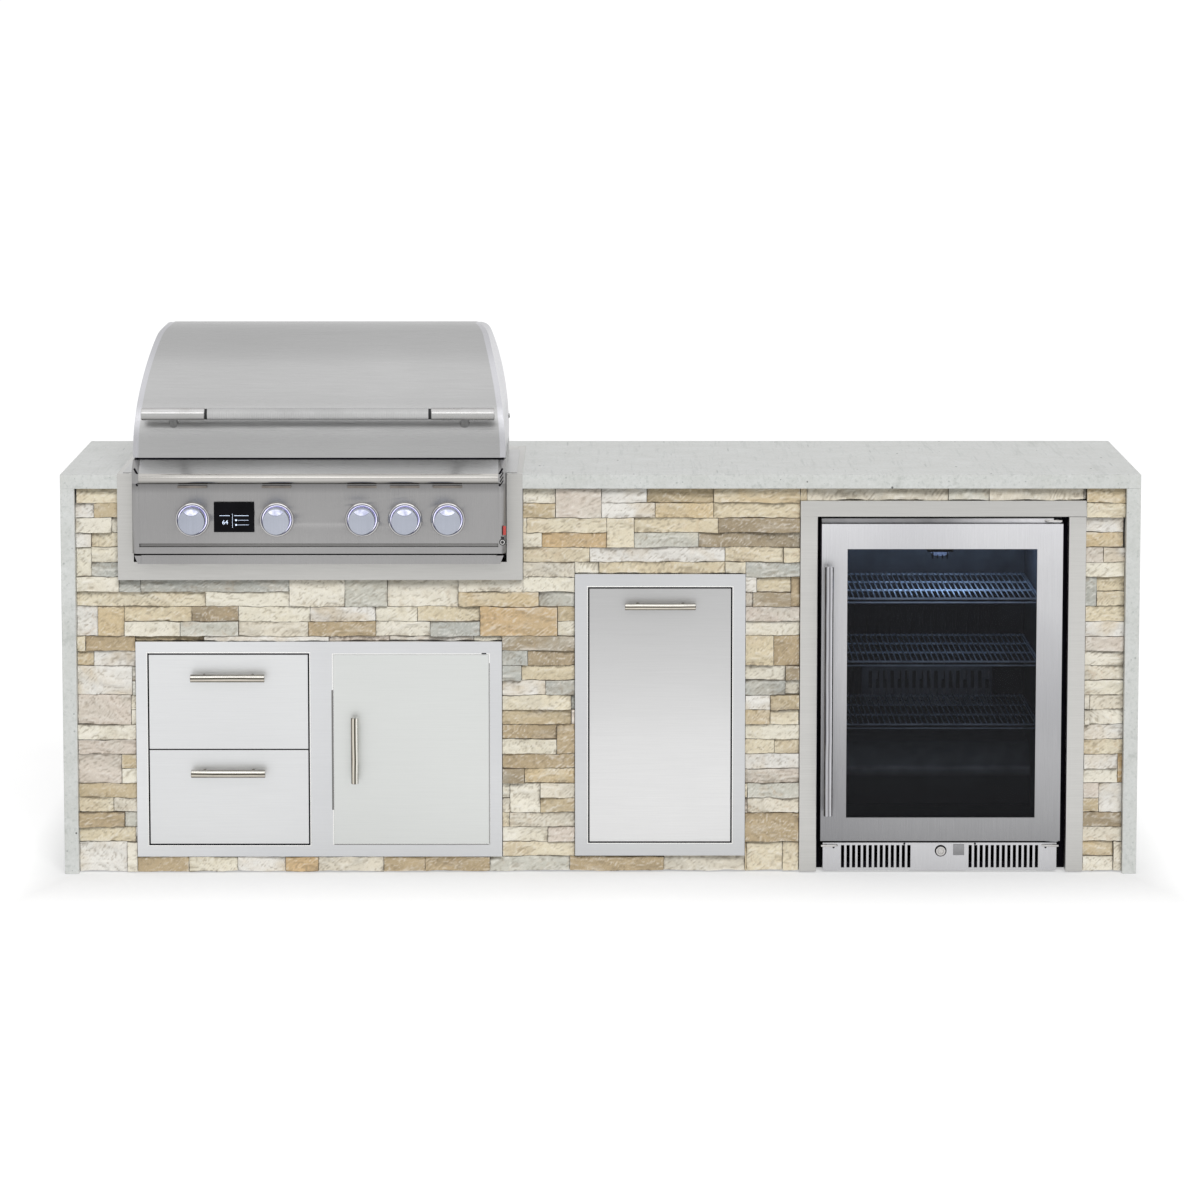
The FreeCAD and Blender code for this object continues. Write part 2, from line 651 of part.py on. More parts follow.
def levelling_feet():
    feet = []
    plate_low = "foot_height - tube_wall * 2"
    for post in post_places():
        for y in ("tubes_front", "tubes_back - tube_side"):
            middle = (f"{post} + tube_side / 2", f"{y} + tube_side / 2")
            feet.append(hexagon("foot_pad_nut", "z", ("0", "foot_pad"), middle, "foot_width"))
            feet.append(block("foot_stud", span(middle[0], "stud_width"),
                              span(middle[1], "stud_width"), ("foot_pad", plate_low)))
            feet.append(block("foot_plate", (post, f"{post} + tube_side"),
                              (y, f"{y} + tube_side"), (plate_low, "foot_height")))
    node("levelling_feet", *feet)


def backer_boards():
    """Cement boards: the front in strips round the cabinets, plain ones behind and at the ends."""
    low, high = "stone_lift", "under_top"
    jacket_l = "grill_mid - jacket_half - board_gap"
    jacket_r = "grill_mid + jacket_half + board_gap"
    store_l = "bay_left - sheet - board_gap"
    store_r = "door_bay_right + sheet + board_gap"
    bin_l = "bin_left - sheet - board_gap"
    bin_r = "bin_right + sheet + board_gap"
    jacket_z = "jacket_low - board_gap"
    strips = [
        ("-(inside)", jacket_l, low, high),
        (jacket_l, store_l, low, jacket_z),
        (store_l, store_r, low, "bay_low - sheet - board_gap"),
        (store_l, store_r, "bay_top + sheet + board_gap", jacket_z),
        (store_r, jacket_r, low, jacket_z),
        (jacket_r, bin_l, low, high),
        (bin_l, bin_r, low, "bin_low - sheet - board_gap"),
        (bin_l, bin_r, "bin_top + sheet + board_gap", high),
        (bin_r, "fridge_mouth_left - board_gap", low, high),
        ("fridge_mouth_left - board_gap", "fridge_mouth_right + board_gap",
         "fridge_mouth_top + board_gap", high),
        ("fridge_mouth_right + board_gap", "inside", low, high),
    ]
    boards = [block("front_board", (x0, x1), ("board_front", "tubes_front"), (z0, z1))
              for x0, x1, z0, z1 in strips]
    posts = post_places()
    edges = ["-(inside)"] + [f"{post} + tube_side / 2" for post in posts[1:4]] + ["inside"]
    for x0, x1 in zip(edges, edges[1:]):
        boards.append(block("back_board", (x0, x1), ("tubes_back", "rear_board"), (low, high)))
    for x in (("-(inside)", "-(half_frame)"), ("half_frame", "inside")):
        boards.append(block("end_board", x, ("tubes_front", "tubes_back"), (low, high)))
    node("backer_boards", *boards)


def less_opening(stone, opening):
    """The pieces of a rectangle that a rectangular opening leaves."""
    x0, x1, z0, z1 = stone
    u0, u1, w0, w1 = opening
    if x1 <= u0 or x0 >= u1 or z1 <= w0 or z0 >= w1:
        return [stone]
    in0, in1 = max(x0, u0), min(x1, u1)
    return [(x0, u0, z0, z1), (u1, x1, z0, z1), (in0, in1, z0, w0), (in0, in1, w1, z1)]


def ledger_stones(left, right, low, high, courses, openings, seed):
    """Rectangles of random ledger stone, in bands of two courses, cut round the openings."""
    dice = random.Random(seed).random
    course = (high - low) / courses
    short, spread = value("stone_short"), value("stone_spread")
    pair_short, pair_spread = value("pair_short"), value("pair_spread")
    tall_share, least_share = 0.3, 0.3
    stones = []
    for band in range(courses // 2):
        z0 = low + band * 2 * course
        x0 = left - spread * dice()
        while x0 < right:
            if dice() < tall_share:
                x1 = x0 + short + spread * dice()
                stones.append((x0, x1, z0, z0 + 2 * course))
            else:
                x1 = x0 + pair_short + pair_spread * dice()
                for row in range(2):
                    share = least_share + (1 - 2 * least_share) * dice()
                    middle = x0 + share * (x1 - x0)
                    z_row = z0 + row * course
                    stones.append((x0, middle, z_row, z_row + course))
                    stones.append((middle, x1, z_row, z_row + course))
            x0 = x1
    for opening in openings:
        stones = [rest for stone in stones for rest in less_opening(stone, opening)]
    stones = [(max(x0, left), min(x1, right), z0, z1) for x0, x1, z0, z1 in stones]
    least = value("stone_least")
    return [(x0, x1, z0, z1, dice()) for x0, x1, z0, z1 in stones
            if x1 - x0 > least and z1 - z0 > least]


def stone_openings():
    """What the front stones are cut round, as left, right, low and high."""
    spans = [
        ("grill_mid - jacket_trim_half", "grill_mid + jacket_trim_half", "jacket_trim_low",
         "counter_height"),
        ("storage_x", "storage_end", "storage_low", "storage_top"),
        ("trash_left", "trash_end", "trash_low", "trash_top"),
        ("fridge_trim_left", "fridge_trim_right", "0", "fridge_trim_top"),
    ]
    joint = value("stone_joint")
    rooms = []
    for x0, x1, z0, z1 in spans:
        rooms.append((value(x0) - joint, value(x1) + joint, value(z0) - joint, value(z1) + joint))
    return rooms


def stone_front():
    """The ledger stones of the front, each its own block of its own depth."""
    half = value("inside")
    joint = value("stone_joint") / 2
    seat, mean, relief = value("board_front"), value("stone_face"), value("stone_relief")
    blocks = []
    courses = int(value("course_count"))
    low, high = value("stone_lift"), value("under_top - stone_shim")
    for x0, x1, z0, z1, depth in ledger_stones(-half, half, low, high, courses,
                                               stone_openings(), 7):
        face = mean + relief * (2 * depth - 1)
        blocks.append(Part.makeBox(x1 - x0 - 2 * joint, seat - face, z1 - z0 - 2 * joint,
                                   Vector(x0 + joint, face, z0 + joint)))
    node("ledger_stones_front", shaped("stones", Part.makeCompound(blocks)))


def stone_back():
    """The back is faced with ledger panels, staggered from row to row."""
    half = value("inside")
    joint = value("stone_joint") / 2
    low, high = value("stone_lift"), value("under_top - stone_shim")
    rows, length = int(value("panel_rows")), value("panel_length")
    height = (high - low) / rows
    seat, face = value("rear_board"), value("back - stone_setback")
    blocks = []
    for row in range(rows):
        edge = -half - (length / 2 if row % 2 else 0)
        while edge < half:
            x0, x1 = max(edge, -half), min(edge + length, half)
            edge += length
            if x1 - x0 > 1:
                z0 = low + row * height
                blocks.append(Part.makeBox(x1 - x0 - 2 * joint, face - seat, height - 2 * joint,
                                           Vector(x0 + joint, seat, z0 + joint)))
    node("ledger_panels_back", shaped("panels", Part.makeCompound(blocks)))


def countertop():
    slab = block("slab", ("-(counter_length) / 2", "counter_length / 2"), ("front", "back"),
                 ("under_top", "counter_height"))
    notch = block("grill_notch", span("grill_mid", "2 * (jacket_half + notch_gap)"),
                  ("front - slab_thick", "jacket_back + notch_gap"),
                  ("under_top - slab_thick", "counter_height + slab_thick"))
    node("countertop", cut("top", slab, notch))
    left = block("left_slab", ("-(counter_length) / 2", "-(inside)"), ("front", "back"),
                 ("0", "under_top"))
    right = block("right_slab", ("inside", "counter_length / 2"), ("front", "back"),
                  ("0", "under_top"))
    node("waterfall_sides", left, right)


# Grill

def grill_jacket():
    """The insulated jacket that lines the stone opening, with its front plate and flanges."""
    y = ("front", "jacket_back")
    z = ("jacket_low", "counter_height")
    pieces = []
    for side in (-1, 1):
        pieces.append(block("jacket_side", reach("grill_mid", side, "jacket_half - sheet",
                                                 "jacket_half"), y, z))
        pieces.append(block("jacket_upright", reach("grill_mid", side, "mouth_half",
                                                    "jacket_trim_half"),
                            ("jacket_front", "front"), ("jacket_mouth_low", "counter_height")))
        pieces.append(block("jacket_return", reach("grill_mid", side, "jacket_trim_half - sheet",
                                                   "jacket_trim_half"),
                            ("front", "stone_face"), ("jacket_trim_low", "under_top - sheet")))
        pieces.append(block("jacket_flange", reach("grill_mid", side, "jacket_half - sheet",
                                                   "jacket_half + flange_width"),
                            ("jacket_front", "jacket_back + flange_width"),
                            ("counter_height", "counter_height + sheet")))
    inner = span("grill_mid", "2 * (jacket_half - sheet)")
    pieces.append(block("jacket_floor", inner, y, ("jacket_low", "jacket_low + sheet")))
    pieces.append(block("jacket_rear", inner, ("jacket_back - sheet", "jacket_back"),
                        ("jacket_low + sheet", "counter_height")))
    pieces.append(block("jacket_rear_flange", inner,
                        ("jacket_back - sheet", "jacket_back + flange_width"),
                        ("counter_height", "counter_height + sheet")))
    pieces.append(block("jacket_apron", span("grill_mid", "2 * jacket_trim_half"),
                        ("jacket_front", "front"), ("jacket_trim_low", "jacket_mouth_low")))
    pieces.append(block("jacket_under", span("grill_mid", "2 * (jacket_trim_half - sheet)"),
                        ("front", "stone_face"), ("jacket_trim_low", "jacket_trim_low + sheet")))
    node("grill_jacket", *pieces)


def burner_places():
    return ["knob_1_place", "knob_2_place", "knob_3_place", "knob_5_place"]


def ledge(height, y_front):
    """A ledge across the firebox, its top at a height."""
    if y_front:
        y = ("firebox_face + sheet", "firebox_face + sheet + ledge_width")
    else:
        y = ("firebox_back - sheet - ledge_width", "firebox_back - sheet")
    return block("firebox_ledge", span("grill_mid", "2 * firebox_in"), y,
                 (f"{height} - ledge_thick", height))


def firebox():
    """The burner box with its sills, cheeks, ledges, tray runners and hood pins."""
    y = ("firebox_face", "firebox_back")
    wall = block("firebox_front_sheet", span("grill_mid", "2 * firebox_half"),
                 ("firebox_face", "firebox_face + sheet"), ("firebox_low", "grill_deck"))
    mouths = [block("burner_mouth", span(f"grill_mid + {place}", "burner_width + 2 * fit_gap"),
                    ("firebox_face - sheet", "firebox_face + 2 * sheet"),
                    span("burner_height", "burner_width + 2 * fit_gap"))
              for place in burner_places()]
    pieces = [cut("firebox_front", wall, *mouths)]
    behind = ("firebox_face + sheet", "firebox_back")
    for side in (-1, 1):
        pieces.append(block("firebox_side", reach("grill_mid", side, "firebox_in", "firebox_half"),
                            behind, ("firebox_low", "grill_deck")))
        pieces.append(block("cheek", reach("grill_mid", side, "firebox_in", "firebox_half"),
                            ("firebox_back - cheek_length", "firebox_back"),
                            ("grill_deck", "grill_deck + cheek_height")))
        pieces.append(block("sill", reach("grill_mid", side, "firebox_half", "deck_half"), y,
                            ("counter_height + 2 * sheet", "grill_deck")))
        pieces.append(block("sill_flange", reach("grill_mid", side, "firebox_half",
                                                 "jacket_half + flange_width / 2"), y,
                            ("counter_height + sheet", "counter_height + 2 * sheet")))
        boss = hexagon("hood_boss_nut", "x", reach("grill_mid", side, "firebox_half",
                                                   "deck_half - 2 * sheet - 3 * fit_gap"),
                       ("hood_axis", "hood_pivot_height"), "hood_boss")
        pin = rod("hood_pin_round", "x", reach("grill_mid", side, "firebox_half", "deck_half + sheet"),
                  ("hood_axis", "hood_pivot_height"), "hood_pin")
        pieces.append(fuse("hood_pin_boss", boss, pin))
        pieces.append(block("rack_bracket", reach("grill_mid", side, "firebox_in - ledge_width / 2",
                                                  "firebox_in"),
                            ("firebox_back - cheek_length", "firebox_back - sheet - ledge_width"),
                            ("rack_height - ledge_thick", "rack_height")))
        pieces.append(block("tray_hanger", reach("grill_mid", side, "tray_half + fit_gap",
                                                 "tray_half + fit_gap + sheet"), behind,
                            ("tray_low - fit_gap", "firebox_low")))
        pieces.append(block("tray_runner", reach("grill_mid", side, "tray_half - ledge_width",
                                                 "tray_half + fit_gap + sheet"), behind,
                            ("tray_low - fit_gap - sheet", "tray_low - fit_gap")))
    inner = span("grill_mid", "2 * firebox_in")
    pieces.append(block("firebox_rear", inner, ("firebox_back - sheet", "firebox_back"),
                        ("firebox_low", "grill_deck + cheek_height")))
    floor = block("firebox_floor_sheet", inner, ("firebox_face + sheet", "firebox_back - sheet"),
                  ("firebox_low", "firebox_low + sheet"))
    drain = block("drain", span("grill_mid", "2 * (tray_half - drain_side)"),
                  span("(firebox_face + firebox_back) / 2", "drain_length"),
                  ("firebox_low - sheet", "firebox_low + 2 * sheet"))
    pieces.append(cut("firebox_floor", floor, drain))
    pieces.append(ledge("burner_height - burner_width / 2", False))
    for height in ("tamer_height", "grate_height"):
        pieces.append(ledge(height, True))
        pieces.append(ledge(height, False))
    node("firebox", *pieces)


def control_panel():
    """A folded panel with a rounded front edge, a groove along its foot and chamfered ends."""
    nose_y = "panel_face + nose_proud"
    rise, run = "(grill_deck - nose_height)", f"(front - panel_deck - ({nose_y}))"
    tangent = f"(atan2({rise}; {run}) + acos(nose_radius / sqrt({rise}^2 + {run}^2)))"
    nose_low = "nose_height - sqrt(nose_radius^2 - nose_proud^2)"
    groove_top = "groove_low + groove_width"
    behind = "panel_face + groove_deep + sheet"

    def on_nose(radius):
        return f"{nose_y} + ({radius}) * cos({tangent})", f"nose_height + ({radius}) * sin({tangent})"

    outside = [
        ("firebox_face", "grill_deck"),
        ("front - panel_deck", "grill_deck"),
        (*on_nose("nose_radius"), "nose_radius"),
        ("panel_face", nose_low),
    ]
    nose = outside + [
        ("panel_face + sheet", nose_low),
        ("panel_face + sheet", f"{nose_low} + sheet"),
        on_nose("nose_radius - sheet"),
        ("front - panel_deck + sheet / 2", "grill_deck - sheet"),
        ("firebox_face", "grill_deck - sheet"),
    ]
    foot = [
        ("panel_face", f"{groove_top} + sheet"),
        ("panel_face", groove_top),
        ("panel_face + groove_deep", groove_top),
        ("panel_face + groove_deep", "groove_low"),
        ("panel_face", "groove_low"),
        ("panel_face", "panel_low"),
        ("front", "panel_low"),
        ("front", "panel_low + sheet"),
        (behind, "panel_low + sheet"),
        (behind, f"{groove_top} + sheet"),
    ]
    start, length = "grill_mid - deck_half + panel_cap", "grill_width - 2 * panel_cap"
    rolled = padded("panel_nose", "YZ_Plane", nose, start, length)
    folded = padded("panel_foot", "YZ_Plane", foot, start, length)
    face = block("panel_face_sheet", (start, f"{start} + {length}"),
                 ("panel_face", "panel_face + sheet"), (f"{groove_top} + sheet", nose_low))
    holes = [block("stem_hole", span(f"grill_mid + knob_{number}_place", "stem_hole"),
                   ("panel_face - sheet", "panel_face + 2 * sheet"),
                   span("knob_height", "stem_hole")) for number in range(1, 6)]
    drilled = cut("panel_drilled", face, *holes)
    caps = []
    cap_points = outside + [("panel_face", "panel_low"), ("firebox_face", "panel_low")]
    for side in (-1, 1):
        start = "grill_mid - deck_half" if side < 0 else "grill_mid + deck_half - panel_cap"
        cap = padded("panel_cap_body", "YZ_Plane", cap_points, start, "panel_cap")
        tip = f"grill_mid + {side} * (deck_half + panel_cap)"
        edge = f"grill_mid + {side} * (deck_half - panel_cap)"
        tip_y = f"{nose_y} - nose_radius - sheet"
        corner = [(edge, tip_y), (tip, tip_y), (tip, f"{tip_y} + 2 * panel_cap")]
        if side > 0:
            corner.reverse()
        slice_off = padded("panel_cap_chamfer", "XY_Plane", corner, "panel_low - sheet",
                           "grill_deck - panel_low + 2 * sheet")
        caps.append(cut("panel_cap_end", cap, slice_off))
    pocket = on_chamfer("switch_pocket", "switch_width + 2 * switch_play", "switch_thick",
                        "2 * switch_thick - switch_proud + switch_room",
                        "switch_tall + 2 * switch_play")
    caps[1] = cut("panel_cap_pocketed", caps[1], pocket)
    node("control_panel", drilled, rolled, folded, *caps)


def knob_set(number):
    """A knob, its stem and the lit ring round it."""
    x = f"grill_mid + knob_{number}_place"
    stem = rod("stem_round", "y", ("knob_face + knob_wall", "valve_face + stem_hold"),
               (x, "knob_height"), "stem_width")
    node(f"valve_stem_{number}", stem)
    disc = rod("knob_disc", "y", ("knob_face", "panel_face - knob_back"), (x, "knob_height"),
               "knob_width")
    bore = rod("knob_bore", "y", ("knob_face + knob_wall", "panel_face"), (x, "knob_height"),
               "stem_width + 2 * stem_fit")
    node(f"knob_{number}", cut("knob_body", disc, bore))


def bezels():
    rings, lamps = [], []
    for number in range(1, 6):
        x = f"grill_mid + knob_{number}_place"
        y = ("panel_face - bezel_proud", "panel_face")
        outer = rod("bezel_outside", "y", y, (x, "knob_height"), "bezel_width")
        inner = rod("bezel_bore_round", "y", y, (x, "knob_height"), "bezel_bore")
        rings.append(cut("bezel", outer, inner))
        lamps.append(block("lamp", span(x, "lamp_width"), ("panel_face - lamp_proud", "panel_face"),
                           span("nose_height - lamp_drop", "lamp_thick")))
    node("knob_bezels", *rings)
    node("panel_lamps", *lamps)


def display():
    frame = block("display_box", span("grill_mid + display_place", "display_width"),
                  ("panel_face - display_proud", "panel_face"),
                  span("display_height", "display_tall"))
    window = block("display_window", span("grill_mid + display_place", "display_width - 4 * sheet"),
                   ("panel_face - display_proud", "panel_face - display_proud + sheet / 2"),
                   span("display_height", "display_tall - 4 * sheet"))
    node("temperature_display", cut("display", frame, window))


def on_chamfer(name, width, proud, thick, tall):
    """A block on the chamfered right end of the panel, standing out of it by so much."""
    box = DOC.addObject("Part::Box", name)
    for size, text in (("Length", width), ("Width", thick), ("Height", tall)):
        box.setExpression(size, formula(text))
    lean = "cos(45)"
    box.Placement = Placement(Vector(), Rotation(Vector(0, 0, 1), 45))
    lead = "(nose_radius - nose_proud + sheet) / 2"
    box.setExpression(".Placement.Base.x", formula(
        f"grill_mid + deck_half - panel_cap / 2 + {lead} - (({width}) / 2 - ({proud})) * {lean}"))
    box.setExpression(".Placement.Base.y", formula(
        f"panel_face + panel_cap / 2 - {lead} - (({width}) / 2 + ({proud})) * {lean}"))
    box.setExpression(".Placement.Base.z", formula(f"switch_height - ({tall}) / 2"))
    return box


def light_switch():
    """The rocker that tilts in its pocket."""
    node("light_switch", on_chamfer("rocker", "switch_width", "switch_proud", "switch_thick",
                                    "switch_tall"))


def gas_manifold():
    """The gas pipe across the grill with a valve and a jet holder for each knob."""
    pieces = [rod("gas_pipe", "x", span("grill_mid", "2 * (firebox_half - ledge_width)"),
                  ("pipe_axis", "pipe_height"), "pipe_width")]
    for number in range(1, 6):
        x = f"grill_mid + knob_{number}_place"
        body = block("valve_block", span(x, "valve_size"), ("valve_face", "valve_back"),
                     span("knob_height", "valve_size"))
        bore = block("valve_socket", span(x, "stem_width + 2 * stem_fit"),
                     ("valve_face", "valve_face + stem_hold + 2 * push_travel"),
                     span("knob_height", "stem_width + 2 * stem_fit"))
        pieces.append(cut("valve", body, bore))
        if number != 4:
            pieces.append(hexagon("jet", "y", ("valve_back", "front + burner_start"),
                                  (x, "burner_height"), "spud_width"))
    node("gas_manifold", *pieces)


def burners():
    """Four tube burners in the firebox and the infrared burner on its rear wall."""
    pieces = [rod("tube_burner", "y", ("front + burner_start",
                                       "front + burner_start + burner_length"),
                  (f"grill_mid + {place}", "burner_height"), "burner_width")
              for place in burner_places()]
    pieces.append(block("rear_burner", span("grill_mid", "2 * (firebox_half - rear_burner_side)"),
                        ("firebox_back - sheet - rear_burner_deep", "firebox_back - sheet"),
                        ("rear_burner_low", "rear_burner_low + rear_burner_tall")))
    node("burners", *pieces)


def flame_tamers():
    """Folded roofs over the burners, standing on the ledges."""
    roofs = []
    for place in burner_places():
        x = f"grill_mid + {place}"
        half = "tamer_width / 2"
        points = [
            (f"{x} - {half}", "tamer_height"),
            (f"{x} - {half} + sheet * 2", "tamer_height"),
            (x, "tamer_height + tamer_rise - sheet"),
            (f"{x} + {half} - sheet * 2", "tamer_height"),
            (f"{x} + {half}", "tamer_height"),
            (x, "tamer_height + tamer_rise"),
        ]
        roofs.append(padded("tamer", "XZ_Plane", points, "-(firebox_back - 4 * sheet)",
                            "firebox_depth - 7 * sheet"))
    node("flame_tamers", *roofs)


def cooking_grates():
    grates = []
    count = int(value("grate_count"))
    pitch = "2 * firebox_in / grate_count"
    y = ("firebox_face + 2 * sheet", "firebox_back - 2 * sheet - rear_burner_deep")
    z = ("grate_height", "grate_height + grate_thick")
    for index in range(count):
        left = f"grill_mid - firebox_in + {index} * {pitch} + grate_gap / 2"
        right = f"grill_mid - firebox_in + {index + 1} * {pitch} - grate_gap / 2"
        slots = [(x, (f"{y[0]} + grate_border", f"{y[1]} - grate_border"))
                 for x in slot_row(f"{left} + grate_border", f"{right} - grate_border",
                                   int(value("grate_slots")), "grate_slot")]
        grates.append(slotted("grate", (left, right), y, z, "z", slots))
    node("cooking_grates", *grates)


def warming_rack():
    x = span("grill_mid", "2 * (firebox_in - sheet)")
    y = ("firebox_back - cheek_length", "firebox_back - cheek_length + rack_length")
    slots = [(across, (f"{y[0]} + grate_border", f"{y[1]} - grate_border"))
             for across in slot_row(f"{x[0]} + grate_border", f"{x[1]} - grate_border",
                                    int(value("rack_slots")), "rack_slot")]
    node("warming_rack", slotted("rack", x, y, ("rack_height", "rack_height + rack_thick"), "z",
                                 slots))


def drip_tray():
    x = span("grill_mid", "2 * tray_half")
    y = ("front - tray_front + sheet", "front + tray_length")
    z = ("tray_low", "tray_low + tray_deep")
    sheets = [
        block("tray_floor", x, y, ("tray_low", "tray_low + sheet")),
        block("tray_left", (x[0], f"{x[0]} + sheet"), y, ("tray_low + sheet", z[1])),
        block("tray_right", (f"{x[1]} - sheet", x[1]), y, ("tray_low + sheet", z[1])),
        block("tray_end", (f"{x[0]} + sheet", f"{x[1]} - sheet"), (f"{y[1]} - sheet", y[1]),
              ("tray_low + sheet", z[1])),
        block("tray_face", span("grill_mid", "2 * (tray_half + tray_lip)"),
              ("front - tray_front", "front - tray_front + sheet"), z),
    ]
    node("drip_tray", *sheets)


def arc_about(centre, start, end):
    """The short arc about a centre from one point to another, all three on a flat sheet."""
    middle = ((start - centre) + (end - centre)).normalize()
    return start, centre + middle * (start - centre).Length, end


def shoulder(foot, spread, rise, foot_radius, shrink):
    """Two tangent arcs from an upright start at the foot to a level end, drawn in by a wall."""
    side = 1 if spread > 0 else -1
    wide = abs(spread)
    crown_radius = ((wide ** 2 + rise ** 2 - 2 * wide * foot_radius)
                    / (2 * (rise - foot_radius)))
    low = foot + Vector(side * foot_radius, 0, 0)
    high = foot + Vector(spread, rise - crown_radius, 0)
    towards = (low - high).normalize() * (1 if crown_radius > foot_radius else -1)
    joint = low + towards * (foot_radius - shrink)
    start = low - Vector(side * (foot_radius - shrink), 0, 0)
    end = high + Vector(0, crown_radius - shrink, 0)
    return [arc_about(low, start, joint), arc_about(high, joint, end)]


def filled(strokes, place):
    """A face from strokes of two or three flat points, each put in its place in space."""
    edges = []
    for stroke in strokes:
        points = [place(point) for point in stroke]
        drawn = Part.Arc(*points) if len(points) == 3 else Part.LineSegment(*points)
        edges.append(drawn.toShape())
    return Part.Face(Part.Wire(Part.__sortEdges__(edges)))


def hood_side(shrink):
    """The hood from the side as a prism, drawn in by a wall."""
    front, low = value("front - hood_front"), value("hood_low")
    back, back_low = value("front + hood_back"), value("hood_back_low")
    crown, top = value("front + hood_crown"), value("hood_top")
    knee = low + value("hood_straight")
    rolled = shoulder(Vector(front, knee, 0), crown - front, top - knee,
                      value("hood_front_radius"), shrink)
    rolled += shoulder(Vector(back, back_low, 0), crown - back, top - back_low,
                       value("hood_rear_radius"), shrink)
    pivot = Vector(value("hood_axis"), value("hood_pivot_height"), 0)
    heel = value("hood_heel") - shrink
    level = Vector(heel, 0, 0)
    foot = pivot - Vector(0, heel, 0)
    corner = Vector(pivot.x, low, 0)
    strokes = rolled + [
        arc_about(pivot, pivot + level, foot),
        (pivot + level, Vector(back - shrink, back_low, 0)),
        (corner, Vector(front + shrink, low, 0)),
        (Vector(front + shrink, low, 0), Vector(front + shrink, knee, 0)),
    ]
    if (foot - corner).Length > 1e-6:
        strokes.append((foot, corner))
    x = value("grill_mid - deck_half - hood_clear")
    face = filled(strokes, lambda point: Vector(x, point.x, point.y))
    return face.extrude(Vector(value("grill_width + 2 * hood_clear"), 0, 0))


def hood_front_view(shift, shrink):
    """The hood from the front as a prism, moved in at its ends and drawn in by a wall."""
    half = value("deck_half") - shift
    low, rise = value("hood_low"), value("hood_height + sheet / 2")
    draw, radius = value("hood_inset"), value("hood_end_radius")
    middle = value("grill_mid")
    near = value("front - hood_front - hood_clear")
    depth = value("hood_front + hood_back + 2 * hood_clear")
    left = shoulder(Vector(-half, low, 0), draw, rise, radius, shrink)
    right = shoulder(Vector(half, low, 0), -draw, rise, radius, shrink)
    strokes = left + right + [(left[1][2], right[1][2]), (left[0][0], right[0][0])]
    face = filled(strokes, lambda point: Vector(middle + point.x, near, point.y))
    return face.extrude(Vector(0, depth, 0))


def hood():
    """A rolled hood: a double front skin between two end caps that wrap its sides."""
    sheet = value("sheet")
    proud = value("hood_skin_proud")
    left, low = value("grill_mid - deck_half"), value("hood_low")
    core = hood_front_view(value("hood_strip"), -2 * proud)
    whole = hood_side(0).common(hood_front_view(0, 0))
    hollow = hood_side(sheet).common(hood_front_view(0, sheet))
    rear = Part.makeBox(value("grill_width"), value("hood_back"),
                        value("hood_back_low") - low + sheet,
                        Vector(left, value("hood_axis") - 3 * value("hood_heel"), low - sheet))
    skin = hood_side(-proud).cut(hood_side(sheet)).common(core).cut(rear)
    node("hood_skin", shaped("hood_front_skin", skin))
    pin = Part.makeCylinder(value("hood_pin / 2 + hood_pin_fit"), value("grill_width"),
                            Vector(left, value("hood_axis"), value("hood_pivot_height")),
                            Vector(1, 0, 0))
    caps = whole.cut(hollow).cut(core).cut(pin)
    node("hood_end_caps", shaped("hood_ends", Part.makeCompound(caps.Solids)))


def hood_handle():
    """A round bar on two posts that follow the hood."""
    axis = ("handle_axis", "hood_handle_height")
    bar = rod("handle_bar", "x", span("grill_mid", "2 * hood_handle_half"), axis,
              "hood_handle_width")
    node("hood_handle_bar", bar)
    posts = []
    solid_hood = shaped("hood_solid", hood_side(-value("hood_skin_proud")))
    for side in (-1, 1):
        post = hexagon("handle_post", "y", ("handle_axis", "front + hood_handle_reach"),
                       (f"grill_mid + {side} * hood_post_place", "hood_handle_height"),
                       "hood_post_width")
        clear = rod("handle_post_seat", "x", span(f"grill_mid + {side} * hood_post_place",
                                                  "hood_handle_width * 2"), axis,
                    "hood_handle_width")
        posts.append(cut("post_fitted", cut("post_short", post, clear), solid_hood))
    node("hood_handle_posts", *posts)


# Drawers, door and bin pull-out

def framed(name, x, z, openings):
    """A folded picture frame, hollow behind, with one or more openings."""
    outer = block(name + "_outside", x, ("frame_face", "board_front"), z)
    holes = [block(name + "_mouth", hole[0], ("frame_face - sheet", "board_front + sheet"), hole[1])
             for hole in openings]
    ring = cut(name + "_ring", outer, *holes)
    hollow = block(name + "_hollow", (f"{x[0]} + sheet", f"{x[1]} - sheet"),
                   ("frame_face + sheet", "board_front + sheet"),
                   (f"{z[0]} + sheet", f"{z[1]} - sheet"))
    cores = [block(name + "_core", (f"{hole[0][0]} - sheet", f"{hole[0][1]} + sheet"),
                   ("frame_face", "board_front + 2 * sheet"),
                   (f"{hole[1][0]} - sheet", f"{hole[1][1]} + sheet")) for hole in openings]
    return cut(name, ring, cut(name + "_channel", hollow, *cores))


def access_frames():
    bays = [(("bay_left", "bay_right"), ("bay_low", "bay_top")),
            (("door_bay_left", "door_bay_right"), ("bay_low", "bay_top"))]
    storage = framed("storage_frame", ("storage_x", "storage_end"), ("storage_low", "storage_top"),
                     bays)
    pins = [rod("pin_hole", "z", (f"{low} - 2 * sheet", f"{low} + 2 * sheet"),
                ("door_axis_x", "door_axis_y"), "door_pin + 2 * door_pin_fit")
            for low in ("bay_low", "bay_top")]
    storage = cut("storage_frame_drilled", storage, *pins)
    trash = framed("bin_frame", ("trash_left", "trash_end"), ("trash_low", "trash_top"),
                   [(("bin_left", "bin_right"), ("bin_low", "bin_top"))])
    node("access_frames", storage, trash)


